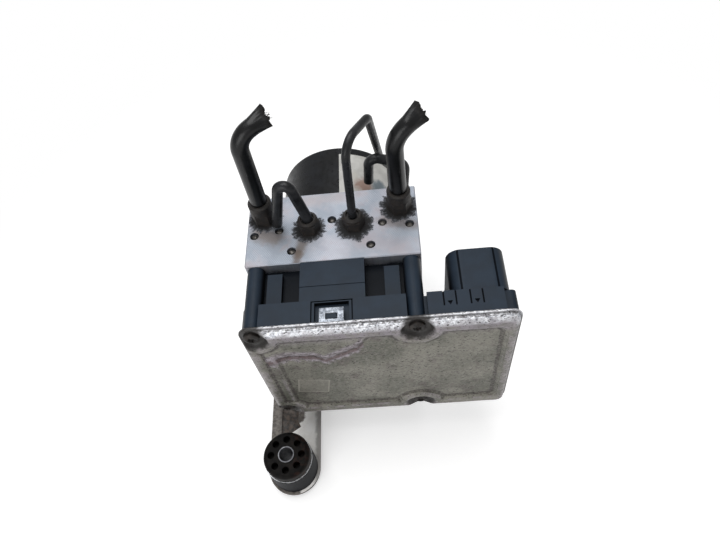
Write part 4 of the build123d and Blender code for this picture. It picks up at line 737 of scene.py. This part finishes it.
def open_group(name, sizes, counts):
    """A geometry-nodes tree with named inputs, sizes in metres; returns it and its input sockets."""
    tree = bpy.data.node_groups.new(name, "GeometryNodeTree")
    tree.interface.new_socket("Geometry", in_out="OUTPUT", socket_type="NodeSocketGeometry")
    for kind, values in (("NodeSocketFloat", sizes), ("NodeSocketInt", counts)):
        for label, value in values.items():
            tree.interface.new_socket(label, in_out="INPUT", socket_type=kind).default_value = value
    return tree, add(tree, "NodeGroupInput").outputs


def random_turn(tree, low, high, seed):
    """A fixed random turn between two, in radians, for each copy."""
    limits = {"Min": low, "Max": high, "Seed": seed}
    return add(tree, "FunctionNodeRandomValue", limits, data_type="FLOAT_VECTOR").outputs[0]


def close_group(tree, material, points, piece, turn, **scale):
    """Puts a copy of a piece at each point, joins them, and gives them out with a material."""
    copies = {"Points": points.outputs[0], "Instance": piece.outputs[0], "Rotation": turn} | scale
    placed = add(tree, "GeometryNodeInstanceOnPoints", copies)
    solid = add(tree, "GeometryNodeRealizeInstances", {"Geometry": placed.outputs[0]})
    finished = add(tree, "GeometryNodeSetMaterial", {"Geometry": solid.outputs[0], "Material": material})
    add(tree, "NodeGroupOutput", {"Geometry": finished.outputs[0]})
    return tree


def fray_tree(material):
    """Tree that makes the cords of one torn end."""
    tree, given = open_group(
        "frayed_cords",
        {"Ring radius": 0.0016, "Cord radius": 0.00016, "Cord length": 0.0034},
        {"Count": 5, "Seed": 3},
    )
    count, seed = given["Count"], given["Seed"]
    ring = {"Resolution": count, "Radius": given["Ring radius"]}
    circle = add(tree, "GeometryNodeCurvePrimitiveCircle", ring)
    around = {"Curve": circle.outputs[0], "Count": count}
    spots = add(tree, "GeometryNodeCurveToPoints", around, mode="COUNT")
    bend = {
        "Resolution": 6,
        "Start": (0, 0, 0),
        "Start Handle": (0, 0, 0.4),
        "End Handle": (0.35, 0.1, 0.7),
        "End": (0.5, 0.25, 1.0),
    }
    cord_line = add(tree, "GeometryNodeCurvePrimitiveBezierSegment", bend)
    section = {"Resolution": 5, "Radius": given["Cord radius"]}
    profile = add(tree, "GeometryNodeCurvePrimitiveCircle", section)
    length = given["Cord length"]
    scale = add(tree, "ShaderNodeCombineXYZ", {0: length, 1: length, 2: length}).outputs[0]
    grown = add(tree, "GeometryNodeTransform", {"Geometry": cord_line.outputs[0], "Scale": scale})
    swept = {"Curve": grown.outputs[0], "Profile Curve": profile.outputs[0], "Fill Caps": True}
    strand = add(tree, "GeometryNodeCurveToMesh", swept)
    turn = random_turn(tree, (-0.4, -0.4, 0.0), (0.4, 0.4, FULL_TURN), seed)
    size = add(tree, "FunctionNodeRandomValue", {2: 0.35, 3: 1.0, "Seed": seed}, data_type="FLOAT")
    return close_group(tree, material, spots, strand, turn, Scale=size.outputs[1])


def grow(tree, name, sizes):
    """Runs a tree on an empty mesh and returns the result as plain mesh data."""
    seed_object = put(name, bpy.data.meshes.new(name + "_seed"))
    modifier = seed_object.modifiers.new(name, "NODES")
    modifier.node_group = tree
    for item in tree.interface.items_tree:
        if item.in_out == "INPUT" and item.name in sizes:
            modifier[item.identifier] = sizes[item.name]
    ready = seed_object.evaluated_get(bpy.context.evaluated_depsgraph_get())
    mesh = bpy.data.meshes.new_from_object(ready)
    bpy.data.objects.remove(seed_object)
    mesh.name = name
    return mesh

# %% [markdown]
# ## Screw heads
# Four rusted screws hold the cover. One geometry-nodes tree bends a grid of rings and spokes into a
# domed head with a six-lobed recess, and puts a copy at each dimple, each turned by a fixed seed.

# %% Geometry nodes: domed heads with a six-lobed recess
SPOKES, HEAD_RINGS = 97, 28
LOBE_DEPTH = 0.00035  # metres, like the sizes of the tree
DOME_FALL = 0.45  # share of the height lost at the edge
BRIM, SKIRT = 0.8, 0.82  # shares of the rings where the dome ends and its side falls


def head_tree(material):
    """Tree that makes the four heads, facing +Z, round the origin."""
    sizes = {"Pitch X": 0.0884, "Pitch Z": 0.098, "Head radius": 0.0044, "Head height": 0.0026,
             "Lobe radius": 0.0021, "Recess": 0.0015}
    tree, given = open_group("screw_heads", sizes, {"Seed": 4})
    grid = {"Size X": 1.0, "Size Y": 1.0, "Vertices X": SPOKES, "Vertices Y": HEAD_RINGS}
    sheet = add(tree, "GeometryNodeMeshGrid", grid)
    place = axes(tree, add(tree, "GeometryNodeInputPosition").outputs[0])
    angle = maths(tree, "MULTIPLY", place["X"], 2 * math.pi)
    ring = maths(tree, "ADD", place["Y"], 0.5)
    share = add(tree, "ShaderNodeClamp", {"Value": maths(tree, "DIVIDE", ring, BRIM)}).outputs[0]
    radius = maths(tree, "MULTIPLY", share, given["Head radius"])
    lobes = maths(tree, "COSINE", maths(tree, "MULTIPLY", angle, 6.0))
    wave = maths(tree, "MULTIPLY_ADD", lobes, LOBE_DEPTH, given["Lobe radius"])
    sunk = ramp(tree, maths(tree, "SUBTRACT", radius, wave), -0.0003, 0.0001, 1.0, 0.0)
    dome = maths(tree, "MULTIPLY", maths(tree, "POWER", share, 3.0), -DOME_FALL)
    height = maths(tree, "MULTIPLY", maths(tree, "ADD", dome, 1.0), given["Head height"])
    height = maths(tree, "SUBTRACT", height, maths(tree, "MULTIPLY", sunk, given["Recess"]))
    fall = {"Value": ring, "From Min": SKIRT, "From Max": 1.0, "To Min": 1.0, "To Max": 0.0}
    skirt = add(tree, "ShaderNodeMapRange", fall)
    height = maths(tree, "MULTIPLY", height, skirt.outputs[0])
    flat_x, flat_y = (maths(tree, "MULTIPLY", radius, maths(tree, way, angle)) for way in ("COSINE", "SINE"))
    spot = add(tree, "ShaderNodeCombineXYZ", {0: flat_x, 1: flat_y, 2: height})
    bent = {"Geometry": sheet.outputs[0], "Position": spot.outputs[0]}
    shaped = add(tree, "GeometryNodeSetPosition", bent)
    seam = {"Geometry": shaped.outputs[0], "Distance": 0.000002}
    joined = add(tree, "GeometryNodeMergeByDistance", seam)
    pitch = {"Size X": given["Pitch X"], "Size Y": given["Pitch Z"], "Vertices X": 2, "Vertices Y": 2}
    corners = add(tree, "GeometryNodeMeshGrid", pitch)
    spin = random_turn(tree, (0, 0, 0), (0, 0, FULL_TURN), given["Seed"])
    return close_group(tree, material, corners, joined, spin)

# %% [markdown]
# ## Rubber and textile
# Ethylene rubber: nearly black, smooth from the extruder, glossier than the moulded bushes. Near
# the tear it is dull and brownish, with broken cords.

# %% Extruded rubber of the sleeves, and their cords
extruded, tree, shader, mm = new_material("extruded_rubber")
tear = ramp(tree, attribute(tree, "torn"), 0.55, 1.0)
tone = blend(tree, patches(tree, mm, 6.0, (0.4, 0.7, 0.0, 0.5)), "#08090a", "#141518")
stretched = mapped(tree, mm, scale=(1.6, 1.6, 0.12))
scuffs = patches(tree, stretched, 1.4, (0.66, 0.72, 0.0, 0.55), 4.0, 0.6)
tone = blend(tree, scuffs, tone, "#4a4a4e")
dull = times(tree, tear, patches(tree, mm, 0.8, (0.4, 0.7, 0.3, 1.0), 5.0))
tone = blend(tree, dull, tone, "#1e1b19")
coat(tree, shader, tone, ramp(tree, tear, 0.0, 1.0, 0.3, 0.85), specular=0.32)
relief(tree, shader, grain(tree, mm, 1.2, 4.0), 0.06)

textile, tree, shader, mm = new_material("torn_textile_cord")
coat(tree, shader, blend(tree, grain(tree, mm, 0.7), "#15120f", "#2e2a26"), 0.9)
relief(tree, shader, grain(tree, mm, 0.3, 3.0), 0.03)

fray = fray_tree(textile)
for side, piece in sleeves.items():
    piece.data.materials.append(extruded)
    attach(piece, "unit")
    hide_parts("pipe_sleeves")
    mesh = grow(fray, "frayed_cords_" + side, {"Seed": 3 if side == "left" else 8})
    point, ahead, first, second = ends[side]
    turned = Matrix((first, second, ahead)).transposed().to_4x4()
    mesh.transform(Matrix.Translation((point - ahead * 1.0) * MM) @ turned)
    cords = put("frayed_cords_" + side, mesh)
    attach(cords, "unit")
    print(cords.name, len(mesh.polygons), "faces")
dress(extruded, "pipe_sleeves")

# %% [markdown]
# ## Finishes of the small pieces
# The small steel pieces differ by their surface, not by the metal: rust on the nuts and screws, a
# dull polymer coat on the pipes, zinc on the motor's plate, bright turned steel in the bush. One
# recipe covers them, and the copper, brass, ferrite, resin and rubber inside: a base, a second
# tone in patches, specks, and a relief of a stated depth.

# %% A recipe for aged metal and plastic
def aged(name, base, patch, speck, metallic, roughness, patch_mm, speck_mm, speck_share, depth):
    """A material of three tones; the sizes and the depth are in millimetres."""
    material, tree, shader, mm = new_material(name)
    tone = blend(tree, patches(tree, mm, patch_mm, (0.38, 0.66), 5.0, 0.6), base, patch)
    low, high = (level - 0.3 * speck_share for level in (0.72, 0.8))
    small = patches(tree, mm, speck_mm, (low, high, 0.0, 0.85), 5.0, 0.7)
    tone = blend(tree, small, tone, speck)
    rough = patches(tree, mm, 3.0, (0.3, 0.7, roughness - 0.08, roughness + 0.1))
    coat(tree, shader, tone, rough, metallic, 0.5 if metallic else 0.25)
    relief(tree, shader, grain(tree, mm, speck_mm, 4.0, 0.65), depth)
    return material


# Three colours, how metallic, how rough, size of the patches and of the specks in millimetres,
# share of specks, depth of the relief in millimetres, and the nodes dressed.
FINISHES = {
    "rusted_steel_nut": ("#191716 #27221f #4a3a30", 0.2, 0.6, 3.0, 0.8, 0.4, 0.12, "flare_nuts"),
    "rusted_steel_screw": ("#110e0c #221913 #3b2a1f", 0.1, 0.65, 2.5, 0.7, 0.4, 0.10, "ecu_screws"),
    "polymer_coated_pipe": ("#17181a #26272a #6f6a64", 0.0, 0.33, 9.0, 1.2, 0.12, 0.02,
        "short_pipe tall_pipe rear_pipe sleeved_pipes"),
    "pressed_steel_ball": ("#3a3836 #6e6a66 #a5a29c", 0.8, 0.42, 1.6, 0.6, 0.4, 0.04, "channel_plugs"),
    "black_coated_can": ("#0b0c0e #131519 #3a3b3e", 0.0, 0.34, 12.0, 1.4, 0.08, 0.02, "motor_can"),
    "zinc_plated_steel": ("#8f8e88 #a8a699 #5c5852", 0.85, 0.4, 6.0, 1.0, 0.3, 0.02,
        "motor_end_plate motor_screws coil_yokes"),
    "turned_bright_steel": ("#b9bbbd #d2d3d4 #7c7a76", 0.9, 0.28, 3.0, 0.8, 0.25, 0.01, "bracket_screws"),
    "turned_ring_steel": ("#c9cbce #dfe0e2 #a7a6a2", 0.9, 0.3, 3.0, 0.8, 0.05, 0.01, "bush_rings"),
    # The bush sleeves' steel is dull, and painted darker still as the shade in their deep bores.
    "dull_sleeve_steel_with_bore_shade": ("#67686c #828387 #45443f", 0.8, 0.5, 2.0, 0.6, 0.3, 0.02, "bush_sleeves"),
    "turned_valve_steel": ("#8f9092 #a9aaab #6a6a6a", 0.95, 0.3, 2.0, 0.5, 0.2, 0.01,
        "valve_bodies" + "".join(" valve_armature_%d" % n for n in range(1, 9))),
    "ground_steel": ("#a9abad #bfc0c2 #86888a", 1.0, 0.22, 2.0, 0.4, 0.15, 0.005,
        "pump_piston_left pump_piston_right rotor_shaft eccentric_ring motor_bearings"),
    "drawn_spring_wire": ("#5c5e62 #7b7d80 #3f4042", 0.95, 0.32, 1.5, 0.4, 0.2, 0.01,
        "valve_springs pump_spring_left pump_spring_right accumulator_spring_left "
        "accumulator_spring_right brush_springs"),
    "turned_aluminium": ("#b4b7bb #c9cbce #8f9195", 0.95, 0.34, 3.0, 0.7, 0.2, 0.01,
        "pump_caps accumulator_caps accumulator_piston_left accumulator_piston_right"),
    "enamelled_copper_wire": ("#9a4e26 #b5673a #5f2f18", 0.9, 0.3, 2.0, 0.5, 0.3, 0.08,
        "coil_windings rotor_winding lead_wires"),
    "plated_contact_brass": ("#b99b55 #cbb274 #8a7340", 0.95, 0.28, 2.0, 0.5, 0.2, 0.01,
        "connector_pins commutator"),
    "stamped_core_steel": ("#3b3c3e #505255 #2a2a2b", 0.8, 0.45, 3.0, 0.6, 0.3, 0.03, "rotor_core"),
    "sintered_ferrite": ("#1c1c1f #29292c #3c3c3f", 0.0, 0.6, 3.0, 0.6, 0.25, 0.03, "motor_magnets"),
    "pressed_carbon": ("#131314 #1d1d1f #2c2c2e", 0.1, 0.55, 2.0, 0.5, 0.3, 0.02, "motor_brushes"),
    "moulded_seal_rubber": ("#0d0d0e #171719 #2b2b2d", 0.0, 0.6, 3.0, 0.7, 0.15, 0.02,
        "cover_seal chamber_seal motor_seal"),
    "solder_masked_laminate": ("#0e3b24 #124a2e #1c6a40", 0.0, 0.25, 6.0, 1.6, 0.35, 0.02, "circuit_board"),
    "moulded_chip_resin": ("#101113 #191a1d #2e2f33", 0.0, 0.5, 2.0, 0.4, 0.2, 0.01, "board_chips"),
    "moulded_lead_insulation": ("#a39d88 #b6b09b #7e7967", 0.0, 0.45, 4.0, 0.8, 0.2, 0.02, "lead_insulator"),
}
for name, (colours, *looks, nodes) in FINISHES.items():
    dress(aged(name, *colours.split(), *looks), *nodes.split())

# %% Screw heads in the dimples
heads_mesh = grow(head_tree(bpy.data.materials["rusted_steel_screw"]), "screw_heads", {"Seed": 4})
middle_x, middle_z = (sum(places) / len(SCREWS) * MM for places in zip(*SCREWS))
outward = Matrix(((1, 0, 0, middle_x), (0, 0, -1, SEAT_Y * MM), (0, 1, 0, middle_z), (0, 0, 0, 1)))
heads_mesh.transform(outward)
smoothed(heads_mesh)
heads = put("screw_heads", heads_mesh)
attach(heads, "unit")
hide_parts("ecu_screws")
print("screw heads", len(heads_mesh.polygons), "faces")

# %% [markdown]
# ## Bracket and label
# The bracket is pressed steel under a pale dusty primer. On the arm the primer is painted in light and
# shade: white where the light falls, dull and darker in the unit's painted shadow, with a painted shade
# along the right edge; dark brown fills the shallow bead along the arm. The motor's label is coated paper,
# left bare, with a rust-brown run and a bluish stain.

# %% Primed steel of the bracket
FIRST_SHADOW_TURN, SECOND_SHADOW_TURN = (36.0, 22.0), (-9.0, -14.0)  # where along the arm the edge of the painted shadow turns
BEAD = (8.2, 7.7)  # heights at which the pressed bead begins and is full
primed, tree, shader, mm = new_material("primed_pressed_steel")
parts = axes(tree, mm)
grit = grain(tree, mm, 3.5, 5.0, 0.65)
sway = maths(tree, "MULTIPLY_ADD", grit, 5.0, parts["X"])
pale = mottle(tree, mm, 7.0, 0.36, 0.66, "#eceae6", "#fbfaf8", 5.0, 0.6)
dull = mottle(tree, mm, 2.5, 0.38, 0.62, "#4d4844", "#76706a", 5.0, 0.7)
brown = blend(tree, ramp(tree, grit, 0.40, 0.60), "#221d1a", "#4d4138")
# The dull tone is the painted shadow of the unit on the arm and the pale tone the painted light; turn shifts
# the shadow's edge along the arm.
turn = ramp(tree, parts["Y"], *FIRST_SHADOW_TURN, 8.5, -7.0)
turn = maths(tree, "ADD", turn, ramp(tree, parts["Y"], *SECOND_SHADOW_TURN, 0.0, 14.0))
past_shadow_edge = maths(tree, "SUBTRACT", sway, turn)
tone = blend(tree, ramp(tree, past_shadow_edge, -1.2, 1.2), dull, pale)
# Painted shade along the arm's right edge, where it curves down.
tone = blend(tree, ramp(tree, sway, 15.0, 18.5, 0.0, 0.75), tone, "#7a7672")
front = ramp(tree, parts["Y"], 74.0, 71.0)
tone = blend(tree, front, blend(tree, grit, "#6a6662", "#8c8983"), tone)
# Dark brown fills the pressed bead.
uneven = maths(tree, "MULTIPLY_ADD", grain(tree, mm, 4.0), 0.9, parts["Z"])
pressed_in = times(tree, ramp(tree, uneven, *BEAD), front)
tone = blend(tree, pressed_in, tone, brown)
rust = patches(tree, mm, 1.2, (0.64, 0.74, 0.0, 0.7), 5.0, 0.7)
tone = blend(tree, rust, tone, "#5a4030")
coat(tree, shader, tone, patches(tree, mm, 3.0, (0.3, 0.7, 0.45, 0.7)))
relief(tree, shader, grain(tree, mm, 1.0, 5.0, 0.7), 0.08)
dress(primed, "mounting_bracket")

# %% Rubber of the bushes
DISC = (29.3, 30.2)  # the wide disc begins between these heights
rubber, tree, shader, mm = new_material("moulded_bush_rubber")
parts = axes(tree, mm)
disc = mottle(tree, mm, 5.0, 0.4, 0.62, "#0d0c0c", "#181614", 5.0, 0.6)
tinted = patches(tree, mm, 4.0, (0.46, 0.62, 0.0, 0.6), 5.0, 0.7)
disc = blend(tree, times(tree, ramp(tree, parts["X"], 1.0, 9.0), tinted), disc, "#33221d")
body = mottle(tree, mm, 4.0, 0.5, 0.72, "#07090f", "#191a1f", 5.0, 0.7)
coat(tree, shader, blend(tree, ramp(tree, parts["Z"], *DISC), body, disc), 0.55, specular=0.08)
relief(tree, shader, grain(tree, mm, 0.9, 4.0, 0.65), 0.04)
dress(rubber, "bush_rubbers")

# %% Coated paper of the label
paper, tree, shader, mm = new_material("coated_paper_label")
tone = mottle(tree, mm, 8.0, 0.35, 0.65, "#a7a6a2", "#bab9b5")
for centre, radius, colour, strength in (
    ((64.0, 143.0, 130.0), 7.0, "#7a5340", 0.75),
    ((74.0, 145.0, 123.0), 7.5, "#2f4c5c", 0.75),
    ((56.0, 150.0, 132.0), 5.0, "#b8b4aa", 0.5),
):
    away = vectors(tree, "DISTANCE", mm, centre)
    uneven = maths(tree, "MULTIPLY_ADD", grain(tree, mm, 4.0), 7.0, away)
    tone = blend(tree, ramp(tree, uneven, radius + 5, radius, 0.0, strength), tone, colour)
coat(tree, shader, tone, 0.55)
relief(tree, shader, grain(tree, mm, 1.5), 0.02)
dress(paper, "motor_label")

# %% [markdown]
# ## Floor, light and camera
# A white floor under a soft overhead lamp, with a weaker one in front. The floor glows a little
# to the camera and to reflections, and turns plain white far out. The world is white to the camera
# and half as bright as a light.

# %% Floor
REACH = 4.0
GLOW = 0.42
PLAIN_FROM = (0.16, 0.42)  # metres from its middle where plain white begins, is full
floor_mesh = bpy.data.meshes.new("floor")
square = [(-REACH, -REACH, 0), (REACH, -REACH, 0), (REACH, REACH, 0), (-REACH, REACH, 0)]
floor_mesh.from_pydata(square, [], [(0, 1, 2, 3)])
floor = put("floor", floor_mesh)
white = bpy.data.materials.new("white_studio_floor")
white.use_nodes = True
tree = white.node_tree
tree.nodes.clear()
path = add(tree, "ShaderNodeLightPath")
seen = maths(tree, "MAXIMUM", path.outputs["Is Camera Ray"], path.outputs["Is Glossy Ray"])
glow = maths(tree, "MULTIPLY", seen, GLOW)
matt = add(tree, "ShaderNodeBsdfDiffuse", {"Color": srgb("#e6e6e6")})
lift = add(tree, "ShaderNodeEmission", {"Color": (1, 1, 1, 1), "Strength": glow})
both = add(tree, "ShaderNodeAddShader", {0: matt.outputs[0], 1: lift.outputs[0]})
ground = add(tree, "ShaderNodeNewGeometry")
middle = vectors(tree, "DISTANCE", ground.outputs["Position"], (0.07, 0.09, 0))
far = times(tree, ramp(tree, middle, *PLAIN_FROM), seen)
plain = add(tree, "ShaderNodeEmission", {"Color": (1, 1, 1, 1)})
cleared = add(tree, "ShaderNodeMixShader", {0: far, 1: both.outputs[0], 2: plain.outputs[0]})
add(tree, "ShaderNodeOutputMaterial", {"Surface": cleared.outputs[0]})
floor_mesh.materials.append(white)

# %% World and lamps
world = bpy.data.worlds.new("studio")
bpy.context.scene.world = world
world.use_nodes = True
tree = world.node_tree
tree.nodes.clear()
path = add(tree, "ShaderNodeLightPath")
seen = maths(tree, "MAXIMUM", path.outputs["Is Camera Ray"], path.outputs["Is Transmission Ray"])
level = add(tree, "ShaderNodeMapRange", {"Value": seen, "To Min": 0.5, "To Max": 1.0})
sky = add(tree, "ShaderNodeBackground", {"Color": (1, 1, 1, 1), "Strength": level.outputs[0]})
add(tree, "ShaderNodeOutputWorld", {"Surface": sky.outputs[0]})
for name, place, aim, size, power in (
    ("overhead_softbox", (0.0, 0.25, 0.95), (0.06, 0.09, 0.1), 0.7, 5.5),
    ("front_fill", (-0.35, -0.75, 0.45), (0.06, 0.03, 0.09), 0.6, 3.2),
):
    data = bpy.data.lights.new(name, "AREA")
    data.size = size
    data.energy = power
    lamp = put(name, data)
    lamp.location = place
    lamp.rotation_euler = (Vector(aim) - Vector(place)).to_track_quat("-Z", "Y").to_euler()

# %% Camera
CAMERA_PLACE = (0.0839, -0.1224, 0.4250)
CAMERA_TURN = (33.86, 5.78, -1.58)
camera_data = bpy.data.cameras.new("camera")
camera_data.sensor_width = 36.0
camera_data.lens = 30.39
camera_data.clip_start = 0.01
camera = put("camera", camera_data)
camera.location = CAMERA_PLACE
camera.rotation_euler = [math.radians(turn) for turn in CAMERA_TURN]
bpy.context.scene.camera = camera
bpy.context.scene.view_settings.view_transform = "Standard"
